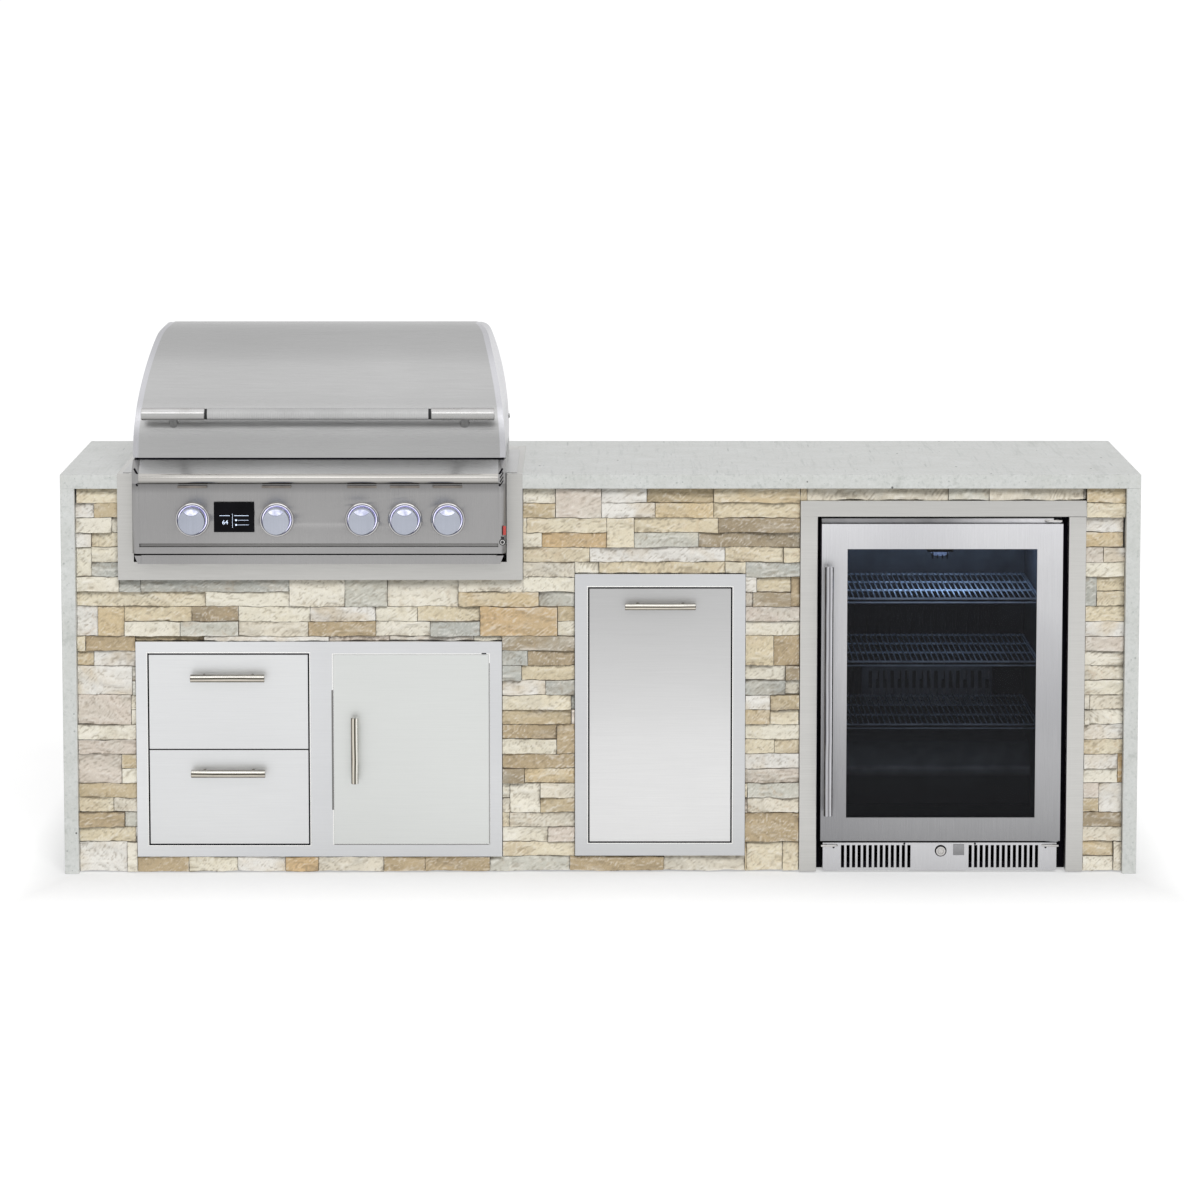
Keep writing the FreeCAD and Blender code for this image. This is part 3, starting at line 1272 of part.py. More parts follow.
def rail(name, wall, side, y, middle, height, near, far, opens_out):
    """A channel rail whose lips point away from its web, beside a wall."""
    body = block(name + "_bar", reach(wall, side, near, far), y, span(middle, height))
    if opens_out:
        inner = reach(wall, side, f"{near} + rail_wall", far)
    else:
        inner = reach(wall, side, near, f"{far} - rail_wall")
    hollow = block(name + "_groove", inner, y, span(middle, f"{height} - 2 * rail_wall"))
    return cut(name, body, hollow)


def outer_rail(wall, side, y, middle):
    return rail("outer_rail", wall, side, y, middle, "rail_tall", "0", "rail_depth - 2.2", True)


def middle_rail(wall, side, y, middle):
    return rail("middle_rail", wall, side, y, middle, "rail_tall - 2 * rail_wall - 2 * fit_gap",
                "rail_wall + 2 * fit_gap", "rail_depth - rail_wall - 2 * fit_gap", True)


def inner_rail(wall, side, y, middle):
    return rail("inner_rail", wall, side, y, middle, "rail_tall - 4 * rail_wall - 4 * fit_gap",
                "2 * rail_wall + 5 * fit_gap", "rail_depth", False)


def rail_sets():
    """Each pull-out with its two walls, the rails' stretch and their height."""
    drawer_y = ("board_front + rail_start", "board_front + rail_start + rail_length")
    trash_y = ("board_front + rail_start", "board_front + rail_start + trash_rail_length")
    lower = "bay_low + front_gap + drawer_lift + rail_rise"
    upper = "drawer_split + front_gap / 2 + drawer_lift + rail_rise"
    return {
        "upper": ("bay_left", "bay_right", drawer_y, upper),
        "lower": ("bay_left", "bay_right", drawer_y, lower),
        "trash": ("bin_left", "bin_right", trash_y, "bin_low + front_gap + drawer_lift + rail_rise"),
    }


def cabinet_sleeves():
    """Sheet cabinets behind the two frames, with the outer rails on their walls."""
    y = ("board_front", "storage_back")
    pieces = []
    low, high = "bay_low - sheet", "bay_top + sheet"
    for x in (("bay_left - sheet", "bay_left"), ("bay_right", "bay_right + sheet"),
              ("door_bay_left - sheet", "door_bay_left"),
              ("door_bay_right", "door_bay_right + sheet")):
        pieces.append(block("sleeve_wall", x, y, (low, high)))
    for x in (("bay_left", "bay_right"), ("door_bay_left", "door_bay_right")):
        pieces.append(block("sleeve_floor", x, y, (low, "bay_low")))
        pieces.append(block("sleeve_roof", x, y, ("bay_top", high)))
        pieces.append(block("sleeve_back", x, ("storage_back - sheet", "storage_back"),
                            ("bay_low", "bay_top")))
    pieces.append(block("storage_shelf", ("door_bay_left", "door_bay_right"),
                        ("board_front + front_thick", "storage_back - sheet"),
                        ("drawer_split - sheet", "drawer_split")))
    y = ("board_front", "trash_back")
    for x in (("bin_left - sheet", "bin_left"), ("bin_right", "bin_right + sheet")):
        pieces.append(block("bin_sleeve_wall", x, y, ("bin_low - sheet", "bin_top + sheet")))
    x = ("bin_left", "bin_right")
    pieces.append(block("bin_sleeve_floor", x, y, ("bin_low - sheet", "bin_low")))
    pieces.append(block("bin_sleeve_roof", x, y, ("bin_top", "bin_top + sheet")))
    pieces.append(block("bin_sleeve_back", x, ("trash_back - sheet", "trash_back"),
                        ("bin_low", "bin_top")))
    for left, right, stretch, middle in rail_sets().values():
        pieces.append(outer_rail(left, 1, stretch, middle))
        pieces.append(outer_rail(right, -1, stretch, middle))
    node("cabinet_sleeves", *pieces)


def middle_rails():
    for name, (left, right, stretch, middle) in rail_sets().items():
        node(f"middle_rails_{name}", middle_rail(left, 1, stretch, middle),
             middle_rail(right, -1, stretch, middle))


def pan(name, x, z, thick="front_thick", face="frame_face"):
    """A folded front: a shallow pan with a back plate let into it."""
    y = (face, f"{face} + {thick}")
    outside = block(name + "_outside", x, y, z)
    inside_x = (f"{x[0]} + skin", f"{x[1]} - skin")
    inside_z = (f"{z[0]} + skin", f"{z[1]} - skin")
    hollow = block(name + "_hollow", inside_x, (f"{face} + skin", f"{y[1]} + skin"), inside_z)
    plate = block(name + "_plate", inside_x, (f"{y[1]} - skin", y[1]), inside_z)
    return [cut(name, outside, hollow), plate]


def drawer(which, low, high):
    """A drawer: its front, its box and the inner rails on the box."""
    left, right, stretch, middle = rail_sets()[which]
    x = (f"{left} + rail_depth", f"{right} - rail_depth")
    y = ("front_back", "front_back + drawer_length")
    foot = f"{low} + drawer_lift"
    top = f"{foot} + drawer_tall"
    pieces = pan("drawer_front", ("bay_left + front_gap", "bay_right - front_gap"), (low, high))
    pieces += [
        block("drawer_left", (x[0], f"{x[0]} + sheet"), y, (foot, top)),
        block("drawer_right", (f"{x[1]} - sheet", x[1]), y, (foot, top)),
        block("drawer_floor", (f"{x[0]} + sheet", f"{x[1]} - sheet"), y, (foot, f"{foot} + sheet")),
        block("drawer_end", (f"{x[0]} + sheet", f"{x[1]} - sheet"), (f"{y[1]} - sheet", y[1]),
              (f"{foot} + sheet", top)),
        inner_rail(left, 1, stretch, middle),
        inner_rail(right, -1, stretch, middle),
    ]
    node(f"drawer_{which}", *pieces)


def bar_handle(label, axis, along, place, face, width="bar_width", post="post_width",
               post_inset="bar_width * 2.4", stand="bar_reach"):
    """A straight bar on two posts; place is its height or its place across."""
    depth = f"{face} - {stand}"
    across = (depth, place) if axis == "x" else (place, depth)
    bar = rod("bar", axis, along, across, width)
    pieces = [bar]
    for spot in (f"{along[0]} + {post_inset}", f"{along[1]} - ({post_inset})"):
        at = (spot, place) if axis == "x" else (place, spot)
        pieces.append(hexagon("bar_post", "y", (depth, face), at, post))
    node(label, fuse(label + "_bar", *pieces))


def drawers():
    lower = ("bay_low + front_gap", "drawer_split - front_gap / 2")
    upper = ("drawer_split + front_gap / 2", "bay_top - front_gap")
    along = span("(bay_left + bay_right) / 2", "drawer_bar_length")
    for which, (low, high) in (("upper", upper), ("lower", lower)):
        drawer(which, low, high)
        bar_handle(f"drawer_{which}_handle", "x", along, f"{high} - drawer_bar_drop", "frame_face")


def storage_door():
    z = ("bay_low + front_gap", "bay_top - front_gap")
    pieces = pan("door_pan", ("door_left", "door_right"), z)
    for ends in (("bay_low - 2 * sheet", z[0]), (z[1], "bay_top + 2 * sheet")):
        pieces.append(rod("door_pin_round", "z", ends, ("door_axis_x", "door_axis_y"), "door_pin"))
    node("storage_door", *pieces)
    bar_handle("storage_door_handle", "z", span("door_bar_height", "door_bar_length"),
               "door_left + door_bar_place", "frame_face", width="bar_width + sheet")


def tapered(name, x, y, z, draw):
    """A block that draws in towards its foot, by the same on all four sides."""
    wedge = DOC.addObject("Part::Wedge", name)
    wedge.Placement = Placement(Vector(), Rotation(Vector(1, 0, 0), 90))
    across = f"({x[1]}) - ({x[0]})"
    deep = f"({y[1]}) - ({y[0]})"
    sizes = {
        "Xmin": draw, "Xmax": f"{across} - ({draw})", "Zmin": draw, "Zmax": f"{deep} - ({draw})",
        "Ymin": "0", "Ymax": f"({z[1]}) - ({z[0]})",
        "X2min": "0", "X2max": across, "Z2min": "0", "Z2max": deep,
    }
    for prop, text in sizes.items():
        wedge.setExpression(prop, formula(text))
    for edge, text in zip("xyz", (x[0], y[1], z[0])):
        wedge.setExpression(f".Placement.Base.{edge}", formula(text))
    return wedge


def trash_pullout():
    """The bin pull-out: a front, a cradle on rails and two bins that stand in it."""
    left, right, stretch, middle = rail_sets()["trash"]
    x = (f"{left} + rail_depth", f"{right} - rail_depth")
    y = ("front_back", "front_back + cradle_length")
    z = ("bin_low + front_gap", "bin_top - front_gap")
    foot = "bin_low + front_gap + drawer_lift"
    top = f"{foot} + cradle_tall"
    pieces = pan("bin_front", ("bin_left + front_gap", "bin_right - front_gap"), z)
    pieces += [
        block("cradle_left", (x[0], f"{x[0]} + sheet"), y, (foot, top)),
        block("cradle_right", (f"{x[1]} - sheet", x[1]), y, (foot, top)),
        block("cradle_floor", (f"{x[0]} + sheet", f"{x[1]} - sheet"), y, (foot, f"{foot} + sheet")),
        block("cradle_end", (f"{x[0]} + sheet", f"{x[1]} - sheet"), (f"{y[1]} - sheet", y[1]),
              (f"{foot} + sheet", top)),
        inner_rail(left, 1, stretch, middle),
        inner_rail(right, -1, stretch, middle),
    ]
    node("trash_drawer", *pieces)
    bar = span("(bin_left + bin_right) / 2", "(bin_right - bin_left) / 2 - front_gap")
    bar_handle("trash_handle", "x", bar, f"{z[1]} - trash_bar_drop", "frame_face")
    bins = []
    base = f"{foot} + sheet"
    bin_x = (f"{x[0]} + sheet + bin_gap", f"{x[1]} - sheet - bin_gap")
    half = "(cradle_length - sheet) / 2"
    for index in range(2):
        bin_y = (f"{y[0]} + {index} * {half} + bin_gap / 2",
                 f"{y[0]} + {index + 1} * {half} - bin_gap / 2")
        bin_z = (base, f"{base} + bin_tall")
        outside = tapered("bin_outside", bin_x, bin_y, bin_z, "bin_taper")
        hollow = tapered("bin_hollow", (f"{bin_x[0]} + bin_wall", f"{bin_x[1]} - bin_wall"),
                         (f"{bin_y[0]} + bin_wall", f"{bin_y[1]} - bin_wall"),
                         (f"{base} + bin_wall", bin_z[1]), "bin_taper")
        bins.append(cut("bin", outside, hollow))
    node("trash_bins", *bins)


# Refrigerator

def fridge_trim():
    """The folded trim round the refrigerator's opening: two uprights and a head."""
    y = ("frame_face", "board_front")
    foot = "stone_lift"
    pieces = []
    for x in (("fridge_trim_left", "fridge_mouth_left"),
              ("fridge_mouth_right", "fridge_trim_right")):
        outside = block("trim_upright", x, y, (foot, "fridge_mouth_top"))
        hollow = block("trim_upright_hollow", (f"{x[0]} + sheet", f"{x[1]} - sheet"),
                       ("frame_face + sheet", y[1]), (foot, "fridge_mouth_top"))
        pieces.append(cut("trim_side", outside, hollow))
    head = block("trim_head", ("fridge_trim_left", "fridge_trim_right"), y,
                 ("fridge_mouth_top", "fridge_trim_top"))
    hollow = block("trim_head_hollow", ("fridge_trim_left + sheet", "fridge_trim_right - sheet"),
                   ("frame_face + sheet", y[1]),
                   ("fridge_mouth_top + sheet", "fridge_trim_top - sheet"))
    pieces.append(cut("trim_top", head, hollow))
    node("fridge_trim", *pieces)


def fridge_cabinet():
    """Insulated walls round the cold space, with a step over the compressor, on four feet.

    Two brackets tie the cabinet to the underside of the top.
    """
    y = ("cabinet_face", "cabinet_back")
    inner = ("cold_left", "cold_right")
    base = "cabinet_foot"
    pieces = [
        block("cabinet_left_wall", ("cabinet_left", "cold_left"), y,
              (f"{base} + sheet", "cabinet_top")),
        block("cabinet_right_wall", ("cold_right", "cabinet_right"), y,
              (f"{base} + sheet", "cabinet_top")),
        block("cabinet_roof", inner, y, ("cold_top", "cabinet_top")),
        block("cabinet_rear", inner, ("cold_back", "cabinet_back"), ("step_height", "cold_top")),
        block("cabinet_floor_slab", inner, ("cabinet_face", "step_face"),
              ("cabinet_floor - step_wall", "cabinet_floor")),
        block("cabinet_step", inner, ("step_face", "step_face + step_wall"),
              ("cabinet_floor - step_wall", "step_height")),
        block("cabinet_step_top", inner, ("step_face + step_wall", "cabinet_back"),
              ("step_height - step_wall", "step_height")),
        block("cabinet_base", ("cabinet_left", "cabinet_right"), y, (base, f"{base} + sheet")),
    ]
    for x in ("cabinet_left + cabinet_wall", "cabinet_right - cabinet_wall"):
        for place in ("cabinet_face + cabinet_wall", "cabinet_back - cabinet_wall"):
            pieces.append(hexagon("cabinet_foot_nut", "z", ("0", base), (x, place), "foot_width"))
    for index in range(3):
        height = f"shelf_low + {index} * shelf_pitch"
        for x in (("cold_left", "cold_left + fridge_ledge"),
                  ("cold_right - fridge_ledge", "cold_right")):
            pieces.append(block("shelf_ledge", x,
                                ("cabinet_face + shelf_front",
                                 "cabinet_face + shelf_front + shelf_length"),
                                (f"{height} - fridge_ledge", height)))
    for place in ("cold_left", "cold_right"):
        x = span(place, "2 * fridge_ledge")
        at = ("cabinet_face + cabinet_depth / 3", "cabinet_face + cabinet_depth / 3 + hinge_plate")
        pieces.append(block("counter_bracket", x, at, ("cabinet_top", "under_top")))
    node("fridge_cabinet", *pieces)


def fridge_compressor():
    """The compressor pot behind the step, on the base plate."""
    pot = rod("compressor", "z", ("cabinet_foot + sheet", "cabinet_foot + sheet + compressor_tall"),
              ("(cold_left + cold_right) / 2", "cabinet_back - step_place / 2 + step_wall / 2"),
              "compressor_width")
    node("fridge_compressor", pot)


def fridge_shelves():
    shelves = []
    x = ("cold_left + sheet", "cold_right - sheet")
    y = ("cabinet_face + shelf_front", "cabinet_face + shelf_front + shelf_length")
    count = int(value("shelf_slots"))
    width = f"(({x[1]}) - ({x[0]}) - {count + 1} * shelf_wire) / {count}"
    slots = [(across, (f"{y[0]} + shelf_wire", f"{y[1]} - shelf_wire"))
             for across in slot_row(f"{x[0]} + shelf_wire", f"{x[1]} - shelf_wire", count, width)]
    for index in range(3):
        height = f"shelf_low + {index} * shelf_pitch"
        shelves.append(slotted("shelf", x, y, (height, f"{height} + shelf_thick"), "z", slots))
    node("fridge_shelves", *shelves)


def fan_cover():
    """The slotted fan cover on the back wall and the lamp under the roof."""
    middle = "(cold_left + cold_right) / 2"
    x = span(middle, "fan_cover_width")
    y = ("cold_back - fan_cover_thick", "cold_back")
    z = ("fan_cover_low", "fan_cover_low + fan_cover_tall")
    slots = [(across, (f"{z[0]} + fridge_ledge * 2", f"{z[1]} - fridge_ledge * 2"))
             for across in slot_row(f"{x[0]} + fridge_ledge * 2", f"{x[1]} - fridge_ledge * 2",
                                    int(value("fan_slots")), "fridge_ledge")]
    cover = slotted("fan_cover_plate", x, y, z, "y", slots)
    lamp = block("cabin_lamp_box", span(middle, "cabin_lamp"),
                 ("cabinet_face + cabin_lamp", "cabinet_face + cabin_lamp * 1.6"),
                 ("cold_top - fridge_ledge", "cold_top"))
    node("fridge_fan_cover", cover, lamp)


def fridge_door():
    """A door frame round a glass unit, with its gasket and handle."""
    x = ("fridge_door_left", "fridge_door_right")
    y = ("fridge_door_face", "fridge_door_back")
    z = ("fridge_door_low", "fridge_door_top")
    pane_x = (f"{x[0]} + glass_side", f"{x[1]} - glass_side")
    pane_z = (f"{z[0]} + glass_base", f"{z[1]} - glass_head")
    seat_x = (f"{pane_x[0]} - glass_lap", f"{pane_x[1]} + glass_lap")
    seat_z = (f"{pane_z[0]} - glass_lap", f"{pane_z[1]} + glass_lap")
    slab = block("door_slab", x, y, z)
    mouth = block("door_mouth", pane_x, (f"{y[0]} - sheet", f"{y[1]} + sheet"), pane_z)
    seat = block("door_seat", seat_x, (f"{y[0]} + glass_back", f"{y[1]} + sheet"), seat_z)
    frame = cut("door_window", cut("door_ring", slab, mouth), seat)
    holes = [rod("hinge_hole", "z", ends, ("hinge_x", "hinge_y"), "hinge_pin + 2 * hinge_pin_fit")
             for ends in ((z[0], f"{z[0]} + hinge_pin_deep"),
                          (f"{z[1]} - hinge_pin_deep", z[1]))]
    node("fridge_door_frame", cut("door_drilled", frame, *holes))
    node("fridge_glass", block("glass_unit", seat_x,
                               (f"{y[0]} + glass_back", f"{y[0]} + glass_back + glass_thick"),
                               seat_z))
    gasket_x = (f"{x[0]} + gasket_inset", f"{x[1]} - gasket_inset")
    gasket_z = (f"{z[0]} + gasket_inset", f"{z[1]} - gasket_inset")
    gasket_y = (y[1], f"{y[1]} + gasket_thick")
    outside = block("gasket_outside", gasket_x, gasket_y, gasket_z)
    hollow = block("gasket_hollow", (f"{gasket_x[0]} + gasket_width",
                                     f"{gasket_x[1]} - gasket_width"), gasket_y,
                   (f"{gasket_z[0]} + gasket_width", f"{gasket_z[1]} - gasket_width"))
    node("fridge_gasket", cut("gasket", outside, hollow))
    bar_handle("fridge_handle", "z", ("fridge_bar_low", "fridge_bar_low + fridge_bar_length"),
               f"{x[0]} + fridge_bar_place", y[0], width="fridge_bar_width",
               post="fridge_bar_width * 0.6", post_inset="fridge_bar_post",
               stand="fridge_bar_reach")


def hinge_leaf(name, z, pin_z):
    """A hinge plate with a cut corner, from the cabinet over the door, with its pin."""
    x1 = "fridge_door_right + cabinet_overlap"
    points = [
        ("hinge_x - hinge_back", "cabinet_face"),
        ("hinge_x - hinge_back", "hinge_y"),
        ("hinge_x - hinge_pin", "hinge_y - hinge_pin"),
        ("hinge_x + hinge_pin", "hinge_y - hinge_pin"),
        (x1, "hinge_y"),
        (x1, "cabinet_face"),
    ]
    leaf = padded(name, "XY_Plane", points, z[0], f"({z[1]}) - ({z[0]})")
    pin = rod(name + "_pin", "z", pin_z, ("hinge_x", "hinge_y"), "hinge_pin")
    return fuse(name + "_leaf", leaf, pin)


def fridge_hinges():
    low, high = "fridge_door_low - hinge_gap", "fridge_door_top + hinge_gap"
    foot = hinge_leaf("hinge_low", (f"{low} - hinge_plate", low),
                      (low, "fridge_door_low + hinge_pin_deep - hinge_gap"))
    head = hinge_leaf("hinge_high", (high, f"{high} + hinge_plate"),
                      ("fridge_door_top - hinge_pin_deep + hinge_gap", high))
    node("fridge_hinges", foot, head)


def toe_grille():
    """The slotted kick plate with its folded ends."""
    x = ("toe_left", "toe_right")
    y = ("toe_face", "toe_face + sheet")
    z = ("toe_low", "toe_top")
    slots = []
    count = int(value("toe_slots"))
    tall = (f"{z[0]} + toe_border", f"{z[1]} - toe_border")
    for index in range(count):
        left = f"{x[0]} + toe_group + {index} * toe_pitch"
        right = f"{x[1]} - toe_group - {index} * toe_pitch"
        slots.append(((left, f"{left} + toe_slot"), tall))
        slots.append(((f"{right} - toe_slot", right), tall))
    plate = slotted("toe_plate", x, y, z, "y", slots)
    lock = rod("lock_hole", "y", (f"{y[0]} - sheet", f"{y[1]} + sheet"),
               ("fridge_place", "lock_height"), "lock_width + 2 * fit_gap")
    plate = cut("toe_plate_drilled", plate, lock)
    ends = [block("toe_end", ends, (y[1], "cabinet_face"), z)
            for ends in ((x[0], f"{x[0]} + sheet"), (f"{x[1]} - sheet", x[1]))]
    node("toe_grille", fuse("toe", plate, *ends))
    barrel = rod("lock_barrel", "y", ("toe_face - lock_proud", "toe_face + lock_width"),
                 ("fridge_place", "lock_height"), "lock_width")
    slot = block("lock_slot", span("fridge_place", "sheet"),
                 ("toe_face - lock_proud", "toe_face - lock_proud + sheet"),
                 span("lock_height", "lock_width / 2"))
    node("fridge_lock", cut("lock", barrel, slot))


def build():
    fill_sheet()
    base_frame()
    levelling_feet()
    backer_boards()
    stone_front()
    stone_back()
    countertop()
    grill_jacket()
    firebox()
    control_panel()
    bezels()
    display()
    light_switch()
    gas_manifold()
    for number in range(1, 6):
        knob_set(number)
    burners()
    flame_tamers()
    cooking_grates()
    warming_rack()
    drip_tray()
    hood()
    hood_handle()
    access_frames()
    cabinet_sleeves()
    middle_rails()
    drawers()
    storage_door()
    trash_pullout()
    fridge_trim()
    fridge_cabinet()
    fridge_compressor()
    fridge_shelves()
    fan_cover()
    fridge_door()
    fridge_hinges()
    toe_grille()
    DOC.recompute()


def check():
    """Stop on a failed object or a bad shape."""
    for thing in DOC.Objects:
        if "Invalid" in thing.State or "Error" in thing.State:
            raise RuntimeError(f"{thing.Name} ({thing.Label}) failed: {thing.State}")
    for label, part in NODES.items():
        shape = part.Shape
        if shape.isNull() or not shape.Solids or not shape.isValid():
            raise RuntimeError(f"{label} has no sound shape")


def write_out():
    os.makedirs("parts", exist_ok=True)
    for label, part in NODES.items():
        part.Shape.exportStep(f"parts/{label}.step")
        box = part.Shape.BoundBox
        print(f"{label}: {len(part.Shape.Solids)} solids, "
              f"x {box.XMin:.1f} {box.XMax:.1f}, y {box.YMin:.1f} {box.YMax:.1f}, "
              f"z {box.ZMin:.1f} {box.ZMax:.1f}")


build()
check()
write_out()
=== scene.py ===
"""Outdoor kitchen island: stone cladding, quartz top, built-in gas grill, drawers, bin pull-out
and a glass-door refrigerator, dressed over the fixed frame. All places are in metres."""
import math
import random

import bmesh
import bpy
from mathutils import Matrix, Vector


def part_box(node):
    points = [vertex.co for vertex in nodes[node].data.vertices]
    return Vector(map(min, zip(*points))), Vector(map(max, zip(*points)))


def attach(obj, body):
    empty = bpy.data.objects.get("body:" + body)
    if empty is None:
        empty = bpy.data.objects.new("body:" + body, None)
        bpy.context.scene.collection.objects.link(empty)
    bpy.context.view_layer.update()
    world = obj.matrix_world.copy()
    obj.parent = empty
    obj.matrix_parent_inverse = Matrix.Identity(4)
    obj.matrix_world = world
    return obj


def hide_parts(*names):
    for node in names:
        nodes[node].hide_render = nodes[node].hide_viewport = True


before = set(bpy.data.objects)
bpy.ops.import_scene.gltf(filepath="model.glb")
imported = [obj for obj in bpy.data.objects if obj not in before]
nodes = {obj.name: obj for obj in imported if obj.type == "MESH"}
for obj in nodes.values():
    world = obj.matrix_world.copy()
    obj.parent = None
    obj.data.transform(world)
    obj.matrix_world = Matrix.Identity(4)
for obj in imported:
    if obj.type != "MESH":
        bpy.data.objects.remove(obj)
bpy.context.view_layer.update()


# Bench tools

def tone(colour):
    """A colour by its screen values, 0 to 255: three of them, or one for a grey."""
    values = (colour,) * 3 if isinstance(colour, int) else colour
    return tuple((c / 255 / 12.92) if c < 11 else ((c / 255 + 0.055) / 1.055) ** 2.4
                 for c in values) + (1.0,)


def deselect():
    bpy.ops.object.select_all(action="DESELECT")


def only(piece):
    """Select one piece and nothing else."""
    deselect()
    piece.select_set(True)
    bpy.context.view_layer.objects.active = piece


def edit(piece):
    only(piece)
    bpy.ops.object.mode_set(mode="EDIT")
    bpy.ops.mesh.select_mode(type="VERT")
    select_mesh()


def select_mesh():
    bpy.ops.mesh.select_all(action="SELECT")


def face_out():
    select_mesh()
    bpy.ops.mesh.normals_make_consistent(inside=False)


def done():
    bpy.ops.object.mode_set(mode="OBJECT")


def apply_place():
    """Write the selected object's place, turn and size into its mesh."""
    bpy.ops.object.transform_apply(location=True, rotation=True, scale=True)


def linked(name, data):
    """A new object in the scene."""
    piece = bpy.data.objects.new(name, data)
    bpy.context.collection.objects.link(piece)
    return piece


def removed(*pieces):
    for piece in pieces:
        bpy.data.objects.remove(piece, do_unlink=True)


def settle(piece, place, turn=(0, 0, 0)):
    """Put a piece at its place and write that into its mesh."""
    piece.location = place
    piece.rotation_euler = turn
    only(piece)
    apply_place()
    return piece


def worked(piece, kind, **values):
    """Apply one modifier to a piece."""
    only(piece)
    modifier = piece.modifiers.new(kind, kind)
    for key, setting in values.items():
        setattr(modifier, key, setting)
    bpy.ops.object.modifier_apply(modifier=modifier.name)
    return piece


def repeated(piece, count, step, **values):
    """An array of a piece with a fixed step."""
    return worked(piece, "ARRAY", count=count, use_relative_offset=False,
                  use_constant_offset=True, constant_offset_displace=step, **values)


def smooth(piece, degrees):
    only(piece)
    bpy.ops.object.shade_smooth_by_angle(angle=math.radians(degrees))
    return piece


def outward(piece):
    """Merge doubles and point every face outwards."""
    edit(piece)
    bpy.ops.mesh.remove_doubles(threshold=0.000005)
    face_out()
    done()
    return piece


def eased(piece, width, segments=2, degrees=30):
    worked(piece, "BEVEL", width=width, segments=segments, limit_method="ANGLE",
           angle_limit=math.radians(degrees), harden_normals=False)
    return smooth(piece, 40)


def block(name, low, high, ease=0.0, segments=2):
    """A block between two corners with eased edges."""
    low, high = Vector(low), Vector(high)
    deselect()
    bpy.ops.mesh.primitive_cube_add(size=1, location=(low + high) / 2, scale=high - low)
    piece = bpy.context.object
    piece.name = name
    apply_place()
    if ease:
        eased(piece, ease, segments)
    return piece


def copied(piece, name, shift):
    """A copy with its own mesh, moved."""
    return settle(linked(name, piece.data.copy()), shift)


def joined(name, pieces):
    """Several pieces made one."""
    deselect()
    for piece in pieces:
        piece.select_set(True)
    bpy.context.view_layer.objects.active = pieces[0]
    bpy.ops.object.join()
    pieces[0].name = name
    return pieces[0]


def drawn(name, points):
    """A line through points, left selected in edit mode."""
    deselect()
    bpy.ops.mesh.primitive_plane_add(size=0.001, location=points[0])
    piece = bpy.context.object
    piece.name = name
    apply_place()
    edit(piece)
    bpy.ops.mesh.merge(type="CENTER")
    for start, end in zip(points, points[1:]):
        bpy.ops.mesh.extrude_region_move(TRANSFORM_OT_translate={"value": end - start})
    select_mesh()
    return piece


def turned(name, profile, steps=48):
    """Spin a profile of (height, radius) pairs round Z; radius 0 closes an end."""
    piece = drawn(name, [Vector((radius, 0, height)) for height, radius in profile])
    bpy.ops.mesh.spin(steps=steps, angle=math.tau, center=(0, 0, 0), axis=(0, 0, 1))
    select_mesh()
    bpy.ops.mesh.remove_doubles(threshold=0.000005)
    face_out()
    done()
    return smooth(piece, 35)


AXES = {"x": (0, math.pi / 2, 0), "y": (-math.pi / 2, 0, 0), "z": (0, 0, 0)}
TO_FRONT = (math.pi / 2, 0, 0)


def bar(name, axis, start, length, radius, ease=0.0008, steps=40):
    """A round bar with eased ends from a start point along an axis."""
    profile = [(0, 0), (0, radius - ease), (ease, radius), (length - ease, radius),
               (length, radius - ease), (length, 0)]
    piece = settle(turned(name, profile, steps), start, AXES[axis])
    across = 0 if axis == "z" else 2
    # The turn across the bar, 0 on one side to 1 on the other, places the painted sheen bands of the
    # bar finishes.
    turn = piece.data.attributes.new("bar_turn", "FLOAT", "POINT")
    for index, point in enumerate(piece.data.vertices):
        turn.data[index].value = 0.5 + (point.co[across] - start[across]) / radius / 2
    return piece


def prism(name, axis, outline, start, length):
    """A closed outline of flat points carried along X, Y or Z."""
    place = "xyz".index(axis)
    points = []
    for point in outline:
        spot = list(point)
        spot.insert(place, start)
        points.append(Vector(spot))
    piece = drawn(name, points)
    bpy.ops.mesh.edge_face_add()
    step = Vector((0, 0, 0))
    step[place] = length
    bpy.ops.mesh.extrude_region_move(TRANSFORM_OT_translate={"value": step})
    face_out()
    done()
    return piece


def carve(piece, tool, how="DIFFERENCE"):
    """Cut one piece by another, or keep what both share."""
    worked(piece, "BOOLEAN", object=tool, operation=how, solver="EXACT")
    removed(tool)
    return piece


def arc(centre, radius, start, end, count):
    """Points of an arc on a flat sheet, angles in degrees."""
    points = []
    for step in range(count + 1):
        angle = math.radians(start + (end - start) * step / count)
        points.append((centre[0] + radius * math.cos(angle), centre[1] + radius * math.sin(angle)))
    return points


def finish_as(piece, finish, body, *stands_for):
    """Give a new piece its finish and body, and the nodes it stands for."""
    piece.data.materials.clear()
    piece.data.materials.append(FINISH[finish])
    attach(piece, body)
    if stands_for:
        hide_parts(*stands_for)
    return piece


def dress(finish, *names, ease=0.0, segments=2):
    """Give CAD nodes a finish and soften their edges."""
    for name in names:
        node = nodes[name]
        for slot in node.material_slots:
            slot.material = FINISH[finish]
        if ease:
            weld = node.modifiers.new("weld", "WELD")
            weld.merge_threshold = 0.00001
            bevel = node.modifiers.new("ease", "BEVEL")
            bevel.width = ease
            bevel.segments = segments
            bevel.limit_method = "ANGLE"
            bevel.angle_limit = math.radians(30)
            bevel.harden_normals = True


# Shader tools

def new_material(name):
    made = bpy.data.materials.new(name)
    made.use_nodes = True
    tree = made.node_tree
    tree.nodes.clear()
    shader = tree.nodes.new("ShaderNodeBsdfPrincipled")
    output = tree.nodes.new("ShaderNodeOutputMaterial")
    tree.links.new(shader.outputs[0], output.inputs["Surface"])
    return made, tree, shader


